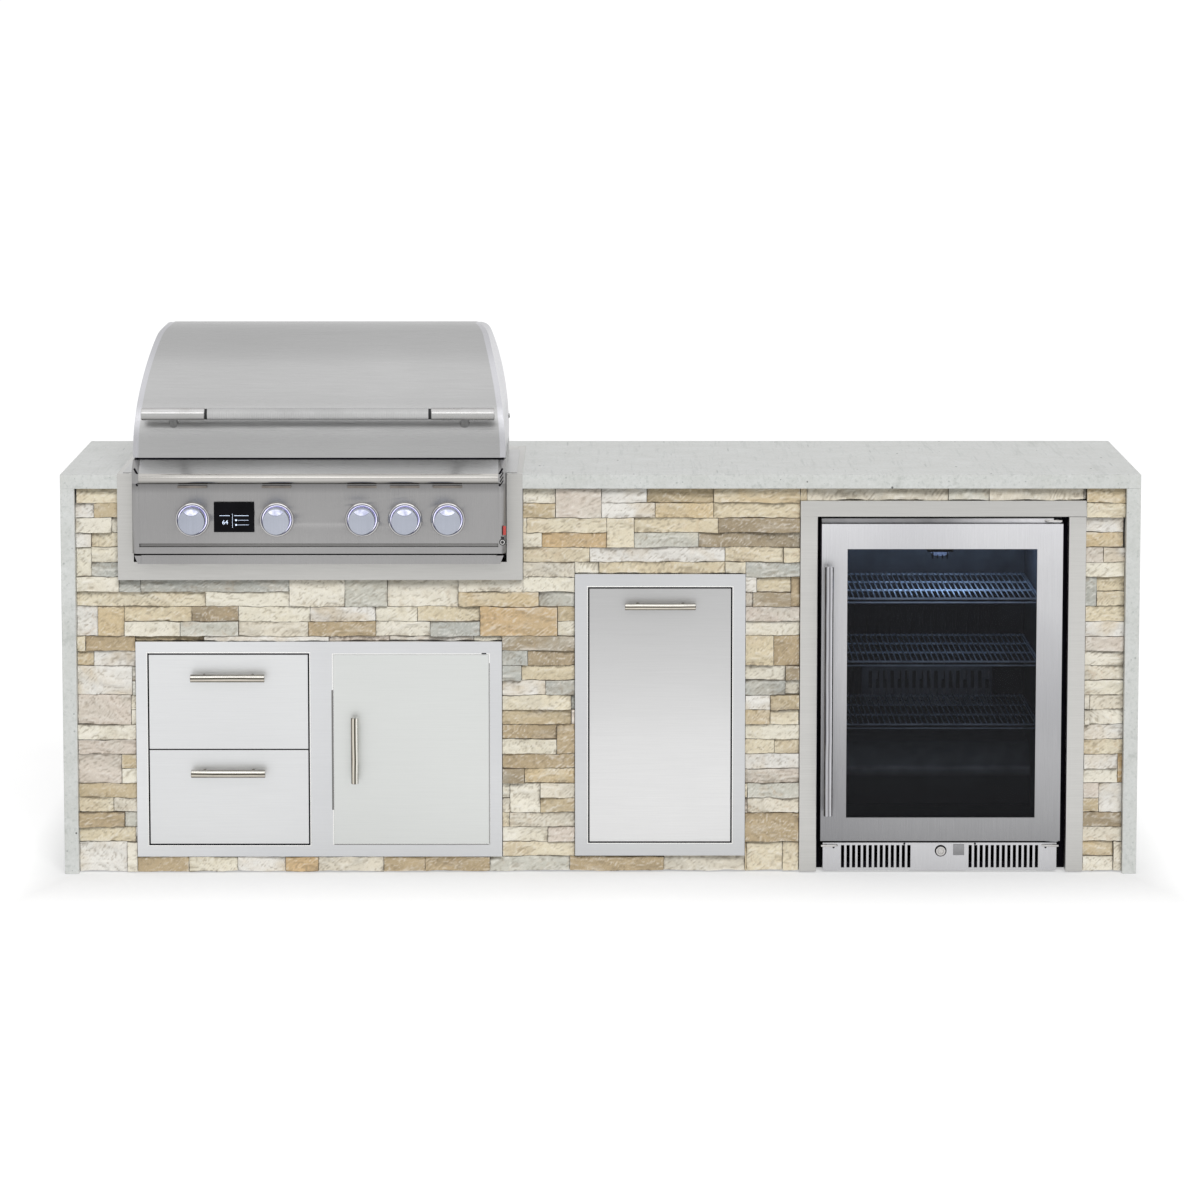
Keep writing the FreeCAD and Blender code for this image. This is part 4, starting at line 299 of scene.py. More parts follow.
def feed(tree, value, socket):
    """Link an output to a socket, or write a plain value into it."""
    if isinstance(value, bpy.types.NodeSocket):
        tree.links.new(value, socket)
    else:
        socket.default_value = value


def placed(tree, kind, out=0, **values):
    """Place a node, feed its inputs (spaces as underscores) and give one of its outputs."""
    node = tree.nodes.new("ShaderNode" + kind)
    for name, value in values.items():
        feed(tree, value, node.inputs[name.replace("_", " ")])
    return node.outputs[out]


def given(tree, shader, **values):
    """Feed a shader's inputs, with spaces written as underscores."""
    for name, value in values.items():
        feed(tree, value, shader.inputs[name.replace("_", " ")])


def maths(tree, how, *values):
    step = tree.nodes.new("ShaderNodeMath")
    step.operation = how
    for place, value in enumerate(values):
        feed(tree, value, step.inputs[place])
    return step.outputs[0]


def mixed(tree, share, first, second, how="MIX"):
    mix = tree.nodes.new("ShaderNodeMix")
    mix.data_type = "RGBA"
    mix.blend_type = how
    for name, value in (("Factor", share), ("A", first), ("B", second)):
        feed(tree, value, mix.inputs[name])
    return mix.outputs["Result"]


def ranged(tree, value, low, high, to_low, to_high):
    return placed(tree, "MapRange", Value=value, From_Min=low, From_Max=high, To_Min=to_low,
                  To_Max=to_high)


def spread(tree, value):
    """The middle of a noise stretched over 0 to 1."""
    return ranged(tree, value, 0.35, 0.65, 0.0, 1.0)


def ramp(tree, value, stops, how="LINEAR"):
    """A colour by a value, from (position, colour) stops."""
    band = tree.nodes.new("ShaderNodeValToRGB")
    band.color_ramp.interpolation = how
    marks = band.color_ramp.elements
    while len(marks) < len(stops):
        marks.new(0.5)
    for mark, (position, colour) in zip(marks, stops):
        mark.position = position
        mark.color = colour
    feed(tree, value, band.inputs[0])
    return band.outputs[0]


def toned(stops):
    return [(position, tone(colour)) for position, colour in stops]


def layered(tree, body, rows):
    """Lay tones over a body, from (pattern, start, end, share, colour) rows."""
    for pattern, start, end, share, colour in rows:
        body = mixed(tree, ranged(tree, pattern, start, end, 0.0, share), body, tone(colour))
    return body


def coordinates(tree, scale=(1, 1, 1), turn=(0, 0, 0), shift=(0, 0, 0)):
    """Object coordinates in metres, stretched and turned for a pattern."""
    return placed(tree, "Mapping", Vector=placed(tree, "TexCoord", "Object"), Scale=scale,
                  Rotation=turn, Location=shift)


def along(tree, vector, axis):
    """One part of a vector: X, Y or Z."""
    return placed(tree, "SeparateXYZ", axis, Vector=vector)


def noise(tree, vector, scale, detail=3.0, roughness=0.5, distortion=0.0):
    return placed(tree, "TexNoise", "Fac", Vector=vector, Scale=scale, Detail=detail,
                  Roughness=roughness, Distortion=distortion)


def bump(tree, height, strength, distance, shader):
    relief = placed(tree, "Bump", "Normal", Height=height, Strength=strength, Distance=distance)
    given(tree, shader, Normal=relief)


def own(tree, name):
    """An attribute of the mesh that one finish reads."""
    source = tree.nodes.new("ShaderNodeAttribute")
    source.attribute_name = name
    return source.outputs


def effect(name, inputs, outputs):
    """An empty shared node group with named sockets."""
    group = bpy.data.node_groups.new(name, "ShaderNodeTree")
    group.interface.new_socket("Vector", in_out="INPUT", socket_type="NodeSocketVector")
    for label, value in inputs:
        socket = group.interface.new_socket(label, in_out="INPUT", socket_type="NodeSocketFloat")
        socket.default_value = value
    for label in outputs:
        group.interface.new_socket(label, in_out="OUTPUT", socket_type="NodeSocketFloat")
    source = group.nodes.new("NodeGroupInput").outputs
    return group, source, group.nodes.new("NodeGroupOutput").inputs


def use(tree, group, **values):
    """Place a shared effect in a material with its own values."""
    node = tree.nodes.new("ShaderNodeGroup")
    node.node_tree = group
    for name, value in values.items():
        feed(tree, value, node.inputs[name])
    return node.outputs


def brushed_grain():
    """Fine streaks along the pattern's X and slow clouds over them."""
    group, source, made = effect("brushed_grain", [("Cloud", 3.0)], ["Streaks", "Clouds"])
    stretched = placed(group, "Mapping", Vector=source["Vector"], Scale=(0.012, 1, 1))
    group.links.new(noise(group, stretched, 900.0, 4, 0.65), made["Streaks"])
    group.links.new(noise(group, source["Vector"], source["Cloud"], 2), made["Clouds"])
    return group


def handling_marks():
    """Faint smudges and dust: a mask that darkens and dulls a surface a little."""
    group, source, made = effect("handling_marks", [("Size", 9.0), ("Amount", 0.5)], ["Mask"])
    cloud = noise(group, source["Vector"], source["Size"], 6, 0.6, 0.4)
    group.links.new(ranged(group, cloud, 0.45, 0.75, 0.0, source["Amount"]), made["Mask"])
    return group


GRAIN = brushed_grain()
MARKS = handling_marks()


# Camera, light and floor

EYE = Vector((-0.0215, -12.173, 2.177))
SIGHT = (1.7, 1000, -130.7)
LENS = 158.5
SUN_ASIDE, SUN_HEIGHT, SUN_SPREAD = (math.radians(degrees) for degrees in (12, 31, 22))
SKY_LIGHT, SKY_SEEN = 0.41, 1.01
# The floor's glow in its painted shadow in front of the island, and further out.
FLOOR_SHADOW_GLOW, FLOOR_FAR = 0.465, 0.735


def grey(value):
    return (value, value, value, 1)


def aimed(piece, place, direction):
    """Stand a camera or lamp at a place, looking along a direction."""
    piece.location = place
    piece.rotation_euler = Vector(direction).to_track_quat("-Z", "Y").to_euler()
    return piece


def camera():
    """The photograph's standpoint: twelve metres in front, a little above."""
    data = bpy.data.cameras.new("camera")
    data.sensor_width = 36
    data.lens = LENS
    data.clip_start = 0.5
    data.clip_end = 200
    bpy.context.scene.camera = aimed(linked("camera", data), EYE, SIGHT)


def softbox(name, place, aim, size, power, colour=(1, 1, 1)):
    data = bpy.data.lights.new(name, "AREA")
    data.shape = "RECTANGLE"
    data.size, data.size_y = size
    data.energy = power
    data.color = colour
    lamp = aimed(linked(name, data), place, Vector(aim) - Vector(place))
    lamp.visible_transmission = False
    return lamp


def shown_ray(tree):
    """One for rays that the eye sees, straight, in a mirror or through glass."""
    path = tree.nodes.new("ShaderNodeLightPath").outputs
    seen = maths(tree, "MAXIMUM", path["Is Camera Ray"], path["Is Glossy Ray"])
    return maths(tree, "MAXIMUM", seen, path["Is Transmission Ray"])


def studio():
    """A white room, a soft sun from the upper front and one wide panel over the front."""
    bpy.context.scene.view_settings.view_transform = "Standard"
    world = bpy.data.worlds.new("studio")
    bpy.context.scene.world = world
    world.use_nodes = True
    tree = world.node_tree
    tree.nodes.clear()
    strength = ranged(tree, shown_ray(tree), 0.0, 1.0, SKY_LIGHT, SKY_SEEN)
    sky = placed(tree, "Background", Color=grey(1), Strength=strength)
    output = tree.nodes.new("ShaderNodeOutputWorld")
    tree.links.new(sky, output.inputs["Surface"])
    sun = bpy.data.lights.new("sun", "SUN")
    sun.energy = 1.6
    sun.angle = SUN_SPREAD
    level = math.cos(SUN_HEIGHT)
    lamp = aimed(linked("sun", sun), (0, 0, 0), (-math.sin(SUN_ASIDE) * level,
                                                 math.cos(SUN_ASIDE) * level,
                                                 -math.sin(SUN_HEIGHT)))
    lamp.visible_glossy = False
    lamp.visible_transmission = False
    softbox("panel", (-0.6, -6.0, 4.2), (-0.3, 0, 0.8), (6.0, 2.6), 54)
    overhead = softbox("overhead", (-0.3, -0.9, 4.6), (-0.3, 0.1, 1.0), (6.0, 2.6), 9)
    overhead.visible_diffuse = False


def floor():
    """A pale floor that the eye and the mirrors see white, with the object's shadow on it and a
    painted shadow: it glows less just in front of the island.
    """
    deselect()
    bpy.ops.mesh.primitive_plane_add(size=400, location=(0, 0, 0))
    ground = bpy.context.object
    ground.name = "floor"
    apply_place()
    paint, tree, shader = new_material("studio_floor")
    seen = shown_ray(tree)
    grain = ranged(tree, noise(tree, coordinates(tree), 3.0), 0.3, 0.7, 0.0, 1.0)
    pale = mixed(tree, grain, grey(0.47), grey(0.49))
    place = coordinates(tree)
    aside = maths(tree, "ABSOLUTE", along(tree, place, "X"))
    # Painted shadow: the glow is lowest at the island's front and rises to full white further out,
    # beside it and behind it.
    clear_of_painted_shadow = ranged(tree, along(tree, place, "Y"), -0.34, -0.82, 0.0, 1.0)
    clear_of_painted_shadow = maths(tree, "MAXIMUM", clear_of_painted_shadow, ranged(tree, aside, 1.20, 1.34, 0.0, 1.0))
    clear_of_painted_shadow = maths(tree, "MAXIMUM", clear_of_painted_shadow,
                ranged(tree, along(tree, place, "Y"), 0.44, 0.80, 0.0, 1.0))
    white = mixed(tree, clear_of_painted_shadow, grey(FLOOR_SHADOW_GLOW), grey(FLOOR_FAR))
    given(tree, shader, Roughness=0.9, Specular_IOR_Level=0.0,
          Base_Color=mixed(tree, seen, grey(0.75), pale),
          Emission_Color=mixed(tree, seen, grey(0), white), Emission_Strength=1.0)
    ground.data.materials.append(paint)


# Finishes

def faded(tree, body, axis, stops):
    """Lighten or darken a finish along one axis, from (place in metres, share) stops; most fades below
    use it to paint light and shade.
    """
    first, last = stops[0][0], stops[-1][0]
    place = ranged(tree, along(tree, coordinates(tree), axis), first, last, 0.0, 1.0)
    shade = ramp(tree, place, [((at - first) / (last - first), grey(share)) for at, share in stops])
    return mixed(tree, 1.0, body, shade, "MULTIPLY")


def brushed(name, light, dark, rough=(0.24, 0.4), upright=False, cloud=2.5, fade=None,
            streaks=0.22):
    """Brushed stainless steel; upright brushing runs along Z."""
    made, tree, shader = new_material(name)
    light, dark = tone(light), tone(dark)
    vector = coordinates(tree, turn=(0, math.pi / 2 if upright else 0, 0))
    grain = use(tree, GRAIN, Vector=vector, Cloud=cloud)
    marks = use(tree, MARKS, Vector=vector, Size=7.0, Amount=0.35)
    body = mixed(tree, ranged(tree, grain["Clouds"], 0.3, 0.7, 0.0, 1.0), dark, light)
    body = mixed(tree, ranged(tree, grain["Streaks"], 0.35, 0.65, 0.0, streaks), body,
                 tuple(0.6 * part for part in light[:3]) + (1,))
    body = mixed(tree, marks["Mask"], body, dark)
    if fade:
        body = faded(tree, body, *fade)
    given(tree, shader, Base_Color=body, Metallic=1.0,
          Roughness=ranged(tree, grain["Streaks"], 0.3, 0.7, *rough))
    bump(tree, grain["Streaks"], 0.35, 0.00002, shader)
    return made


def bar_metal(name, stops, rough=(0.16, 0.26)):
    """Round bars with a painted sheen: bands of painted highlight and reflection run along them, from
    (share of the turn, tone) stops.
    """
    made, tree, shader = new_material(name)
    turn = own(tree, "bar_turn")["Fac"]
    vector = coordinates(tree)
    marks = use(tree, MARKS, Vector=vector, Size=18.0, Amount=0.3)
    uneven = ranged(tree, noise(tree, vector, 9.0), 0.3, 0.7, -0.04, 0.04)
    painted_sheen = ramp(tree, maths(tree, "ADD", turn, uneven), toned(stops))
    given(tree, shader, Base_Color=mixed(tree, marks["Mask"], painted_sheen, tone((150, 146, 140))),
          Roughness=ranged(tree, marks["Mask"], 0.0, 0.3, *rough), Metallic=1.0)
    bump(tree, noise(tree, vector, 1400.0, 2.0), 0.08, 0.00002, shader)
    return made


def smooth_metal(name, light, dark, rough=(0.08, 0.18)):
    """Polished or plated metal with slight handling marks."""
    made, tree, shader = new_material(name)
    vector = coordinates(tree)
    marks = use(tree, MARKS, Vector=vector, Size=14.0, Amount=0.8)
    given(tree, shader, Base_Color=mixed(tree, marks["Mask"], tone(light), tone(dark)),
          Roughness=ranged(tree, marks["Mask"], 0.0, 0.8, *rough), Metallic=1.0)
    bump(tree, noise(tree, vector, 1400.0, 2.0), 0.08, 0.00002, shader)
    return made


def plain_finish(name, light, dark, rough=(0.35, 0.5), scale=30.0, grit=900.0, depth=0.0001,
                 strength=0.2, metallic=0.0, gloss=0.5, fade=None):
    """Moulded, painted or galvanised surfaces: two close tones and a fine grit."""
    made, tree, shader = new_material(name)
    vector = coordinates(tree)
    broad = noise(tree, vector, scale, 5.0, 0.6)
    body = mixed(tree, spread(tree, broad), tone(light), tone(dark))
    if fade:
        body = faded(tree, body, *fade)
    given(tree, shader, Base_Color=body, Roughness=ranged(tree, broad, 0.3, 0.7, *rough),
          Metallic=metallic, Specular_IOR_Level=gloss)
    bump(tree, noise(tree, vector, grit, 2.0), strength, depth, shader)
    return made


def glowing(name, core, edge, strength, scale=40.0):
    """A lit plastic with a slightly uneven glow."""
    made, tree, shader = new_material(name)
    uneven = spread(tree, noise(tree, coordinates(tree), scale, 2.0))
    colour = mixed(tree, uneven, core + (1,), edge + (1,))
    given(tree, shader, Base_Color=colour, Emission_Color=colour, Emission_Strength=strength,
          Roughness=0.3)
    return made


def flecks(tree, vector, density, radius, softness):
    """A mask of round flecks, larger and smaller, from the seeds of a cell pattern."""
    cells = tree.nodes.new("ShaderNodeTexVoronoi")
    feed(tree, vector, cells.inputs["Vector"])
    feed(tree, density, cells.inputs["Scale"])
    seed = placed(tree, "SeparateColor", Color=cells.outputs["Color"])
    limit = ranged(tree, seed, 0.0, 1.0, radius * density * 0.25, radius * density)
    share = maths(tree, "DIVIDE", cells.outputs["Distance"], limit)
    return ranged(tree, share, 1.0 - softness, 1.0, 1.0, 0.0)


def quartz_finish():
    """Pale quartz; its dark flecks are drawn out from front to back."""
    made, tree, shader = new_material("quartz")
    vector = coordinates(tree)
    long = coordinates(tree, scale=(1, 0.05, 1))
    short = coordinates(tree, scale=(1, 0.4, 1), shift=(3.1, 1.7, 0.4))
    base = noise(tree, vector, 14.0, 8.0, 0.62)
    mottle = noise(tree, vector, 160.0, 5.0, 0.65)
    body = ramp(tree, base, toned([(0.3, (202, 204, 200)), (0.5, (208, 210, 207)),
                                   (0.7, (214, 216, 214))]))
    body = layered(tree, body, [
        (mottle, 0.5, 0.8, 0.5, (178, 183, 178)),
        (mottle, 0.45, 0.25, 0.5, (226, 228, 226)),
        (noise(tree, long, 110.0, 4.0, 0.6), 0.56, 0.74, 0.55, (166, 172, 168)),
        (noise(tree, long, 34.0, 3.0, 0.6), 0.6, 0.72, 0.35, (150, 156, 150)),
        (flecks(tree, long, 52.0, 0.0030, 0.6), 0, 1, 0.55, (128, 136, 132)),
        (flecks(tree, short, 26.0, 0.0040, 0.35), 0, 1, 0.9, (62, 64, 62))])
    given(tree, shader, Base_Color=body, Roughness=ranged(tree, mottle, 0.3, 0.7, 0.3, 0.4))
    bump(tree, mottle, 0.08, 0.0003, shader)
    return made


STONE_TONES = (
    (0.00, (232, 227, 210)), (0.09, (216, 202, 170)), (0.17, (230, 228, 223)),
    (0.27, (192, 174, 138)), (0.33, (234, 229, 214)), (0.43, (206, 184, 142)),
    (0.48, (194, 194, 184)), (0.54, (212, 200, 188)), (0.62, (174, 152, 114)),
    (0.67, (226, 216, 190)), (0.77, (176, 179, 174)), (0.81, (222, 214, 196)),
    (0.89, (152, 134, 104)), (0.92, (226, 224, 219)), (0.97, (204, 172, 122)))
PATCH_TONES = (
    (0.00, (214, 204, 178)), (0.16, (198, 176, 136)), (0.33, (216, 208, 186)),
    (0.50, (200, 196, 184)), (0.62, (190, 168, 130)), (0.76, (184, 180, 168)),
    (0.90, (184, 162, 126)))


def stone_finish():
    """Split-face ledger stone: each stone has its own tone, its chips and its share of rust; shade is
    painted into its hollows and onto its side faces, and highlight onto its ridges.
    """
    made, tree, shader = new_material("ledger_stone")
    stone, hollow = own(tree, "stone_tone"), own(tree, "stone_hollow")["Fac"]
    vein = own(tree, "stone_vein")["Fac"]
    offset = tree.nodes.new("ShaderNodeVectorMath")
    offset.operation = "SCALE"
    feed(tree, stone["Vector"], offset.inputs[0])
    feed(tree, 17.0, offset.inputs["Scale"])
    shifted = tree.nodes.new("ShaderNodeVectorMath")
    feed(tree, placed(tree, "TexCoord", "Object"), shifted.inputs[0])
    feed(tree, offset.outputs[0], shifted.inputs[1])
    vector = shifted.outputs[0]
    slant = placed(tree, "CombineXYZ", Y=ranged(tree, vein, 0.0, 1.0, -0.25, 0.35))
    bedding = placed(tree, "Mapping", Vector=vector, Scale=(0.38, 1, 1), Rotation=slant)
    layers = noise(tree, bedding, 34.0, 9.0, 0.66, 0.25)
    patches = noise(tree, vector, 13.0, 4.0, 0.5, 0.4)
    grit = noise(tree, vector, 300.0, 6.0, 0.78)
    base = ramp(tree, stone["Fac"], toned(STONE_TONES), "CONSTANT")
    warm = ramp(tree, stone["Fac"], toned(PATCH_TONES), "CONSTANT")
    rust = ranged(tree, noise(tree, vector, 30.0, 6.0, 0.68, 1.2), 0.54, 0.68, 0.0, 0.42)
    rust = maths(tree, "MULTIPLY", rust, vein)
    lies = placed(tree, "NewGeometry", "True Normal")
    size = maths(tree, "ABSOLUTE", along(tree, lies, "Y"))
    body = mixed(tree, ranged(tree, patches, 0.46, 0.66, 0.0, 0.55), base, warm)
    body = layered(tree, body, [(layers, 0.54, 0.78, 0.26, (150, 134, 108)),
                                (layers, 0.46, 0.28, 0.34, (242, 239, 232))])
    body = mixed(tree, rust, body, tone((182, 144, 96)))
    body = layered(tree, body, [(grit, 0.5, 0.72, 0.24, (134, 118, 94)),
                                (grit, 0.46, 0.3, 0.26, (250, 247, 240)),
                                # Painted shade in the hollows and painted highlight on the ridges.
                                (hollow, 0.55, 0.9, 0.46, (112, 95, 72)),
                                (hollow, 0.42, 0.1, 0.36, (248, 245, 238))])
    body = mixed(tree, 0.12, body, tone((255, 250, 236)))
    # Painted shade: faces turned away from the front, the stones' sides in the joints, go deep brown.
    body = mixed(tree, ranged(tree, size, 0.15, 0.45, 0.75, 0.0), body, tone((84, 72, 58)))
    given(tree, shader, Base_Color=body, Roughness=ranged(tree, grit, 0.3, 0.7, 0.75, 0.95),
          Specular_IOR_Level=0.2)
    relief = maths(tree, "ADD", layers, ranged(tree, grit, 0, 1, 0.0, 0.5))
    bump(tree, relief, 0.5, 0.0026, shader)
    return made


def glass_finish():
    """Tinted double glass with faint smudges in its gloss and a faint painted reflection of the room:
    a glow over the whole pane.
    """
    made, tree, shader = new_material("door_glass")
    marks = use(tree, MARKS, Vector=coordinates(tree), Size=6.0, Amount=0.6)["Mask"]
    given(tree, shader, Base_Color=mixed(tree, marks, (0.50, 0.54, 0.60, 1), (0.44, 0.48, 0.54, 1)),
          Roughness=ranged(tree, marks, 0.0, 0.6, 0.0, 0.03), Transmission_Weight=1.0, IOR=1.08,
          # The faint glow is a painted reflection of the room.
          Emission_Color=(0.92, 0.93, 1.0, 1), Emission_Strength=0.006)
    return made


# Painted shade and reflection on the hood: darker at its foot and top edge, and a painted shadow just
# under the handle.
HOOD_PAINTED_SHADE = ("Z", ((0.954, 0.86), (0.99, 0.84), (1.03, 0.80), (1.06, 1.0), (1.16, 1.0),
                   (1.21, 0.90), (1.237, 0.78)))
# Painted shadow on the panel face just under its rounded edge.
PANEL_PAINTED_SHADOW = ("Z", ((0.742, 1.0), (0.878, 1.0), (0.893, 0.72), (0.8988, 0.62), (0.9010, 1.0)))
# Painted highlight on the rounded edge: bright over its upper part, dark along its underside.
NOSE_PAINTED_HIGHLIGHT = ("Z", ((0.8985, 0.34), (0.9035, 0.5), (0.9085, 0.94), (0.926, 0.97)))
# Painted reflection on the refrigerator's door frame and toe tab: dark low down, brighter towards the
# top.
DOOR_PAINTED_REFLECTION = ("Z", ((0.07, 0.60), (0.15, 0.68), (0.4, 0.92), (0.7, 1.12), (0.802, 1.36)))
# Painted reflection on the bin front: bright low down, darker towards the top.
BIN_PAINTED_REFLECTION = ("Z", ((0.06, 0.97), (0.3, 0.92), (0.6, 0.68), (0.66, 0.65)))
FRAME_FADE = ("X", ((-1.054, 1.0), (-0.72, 0.97), (-0.62, 0.93), (-0.2, 0.91), (-0.04, 0.85),
                    (0.33, 0.84)))
# Painted shade on the refrigerator trim, darker near its top under the counter.
TRIM_PAINTED_SHADE = ("Z", ((0.0, 1.0), (0.78, 0.99), (0.82, 0.92), (0.853, 0.90)))
# Painted reflection along the strip over the refrigerator door: dark on the left, bright at its right
# end.
STRIP_PAINTED_REFLECTION = ("X", ((0.5, 0.30), (0.56, 0.38), (0.75, 0.28), (0.90, 0.75), (1.03, 1.0)))
ROCKER_FADE = ("X", ((-0.2220, 0.06), (-0.2195, 0.06), (-0.2188, 0.8), (-0.2130, 1.0)))
# Painted lamplight in the refrigerator cabinet: the liner is light near the lamp at the top and falls
# near black low down.
LINER_PAINTED_LAMPLIGHT = ("Z", ((0.1, 0.013), (0.45, 0.026), (0.56, 0.09), (0.66, 0.6), (0.77, 1.0)))
# Painted highlight along the rounded front of the compressor step, with painted shade above it and
# darker below.
HOUSING_PAINTED_HIGHLIGHT = ("Z", ((0.10, 0.04), (0.165, 0.09), (0.180, 0.6), (0.186, 1.0), (0.194, 0.42),
                      (0.242, 0.26)))
# Painted lamplight on the wire shelves: the top shelf by the lamp is bright, the lower ones dim.
WIRE_PAINTED_LAMPLIGHT = ("Z", ((0.32, 0.22), (0.35, 0.24), (0.46, 0.36), (0.50, 0.4), (0.60, 0.9), (0.63, 1.0)))
# Painted highlight and reflection bands round the drawer, door and hood bars, by their turn from one
# side to the other.
SMALL_BAR_PAINTED_SHEEN = ((0.0, (92, 86, 76)), (0.13, (126, 118, 106)), (0.26, (222, 216, 204)),
             (0.40, (206, 200, 188)), (0.46, (70, 64, 54)), (0.56, (44, 40, 32)),
             (0.62, (110, 104, 92)), (0.72, (240, 238, 230)), (0.86, (246, 244, 238)),
             (0.95, (160, 156, 148)), (1.0, (122, 118, 110)))
TALL_BAR_PAINTED_SHEEN = ((0.0, (76, 74, 78)), (0.14, (58, 56, 60)), (0.24, (170, 170, 174)),
            (0.4, (190, 190, 194)), (0.5, (104, 102, 106)), (0.66, (168, 168, 172)),
            (0.8, (212, 212, 216)), (0.92, (100, 98, 102)), (1.0, (72, 70, 74)))
HOOD_BAR_PAINTED_SHEEN = ((0.0, (150, 149, 148)), (0.2, (166, 165, 164)), (0.5, (178, 178, 177)),
            (0.75, (206, 205, 205)), (0.9, (190, 189, 189)), (1.0, (166, 165, 165)))
CALM = {"rough": (0.32, 0.4)}


def brushed_finishes():
    return {
        "steel": brushed("brushed_stainless", 180, 168),
        "hood": brushed("hood_stainless", 188, 178, cloud=1.5, fade=HOOD_PAINTED_SHADE),
        "hood_end": brushed("hood_end_stainless", (206, 206, 210), (196, 196, 200), upright=True,
                            fade=HOOD_PAINTED_SHADE),
        "panel": brushed("panel_stainless", (163, 162, 162), (151, 150, 150), upright=True,
                         streaks=0.12, fade=PANEL_PAINTED_SHADOW),
        # The panel, its rounded edge and its deck are lit and shaded copies of one steel; the rounded
        # edge carries a painted highlight.
        "nose": brushed("rounded_painted_highlight", (200, 198, 194), (186, 183, 179), (0.16, 0.26),
                        fade=NOSE_PAINTED_HIGHLIGHT),
        "deck": brushed("deck_stainless", 196, 182),
        # A darker copy of the panel steel for painted shade, in the panel's groove and in the storage
        # door's gaps.
        "groove": brushed("groove_painted_shade_stainless", (132, 131, 130), (118, 117, 116)),
        "bright": brushed("bright_stainless", (226, 227, 227), (218, 219, 220), cloud=1.2,
                          streaks=0.1, **CALM),
        "door_front": brushed("door_front_stainless", (219, 221, 219), (212, 214, 212), cloud=1.2,
                              streaks=0.08, **CALM),
        # A lighter copy of the frame steel: painted highlight of the frames' bevelled edges round the
        # openings.
        "lip": brushed("lip_painted_highlight", (246, 246, 244), (236, 236, 234), (0.2, 0.3), streaks=0.1),
        "bin_front": brushed("bin_front_stainless", 231, 223, cloud=1.6, fade=BIN_PAINTED_REFLECTION,
                             streaks=0.12, **CALM),
        "frame": brushed("frame_stainless", (226, 227, 228), (216, 217, 219), cloud=1.8,
                         fade=FRAME_FADE, streaks=0.1, **CALM),
        "upright": brushed("upright_stainless", (200, 200, 202), (178, 178, 181), upright=True,
                           cloud=2.0, fade=DOOR_PAINTED_REFLECTION),
        "toe": brushed("toe_stainless", (216, 216, 218), (198, 198, 201), upright=True,
                       streaks=0.12),
        "trim": brushed("trim_stainless", (206, 205, 202), (198, 197, 194), (0.35, 0.45),
                        cloud=1.5, fade=TRIM_PAINTED_SHADE),
        "jacket": brushed("jacket_stainless", (198, 197, 194), (190, 189, 186), (0.35, 0.45),
                          cloud=1.5),
        "knob": brushed("knob_face", (188, 192, 203), (168, 173, 186), (0.26, 0.38), upright=True),
    }


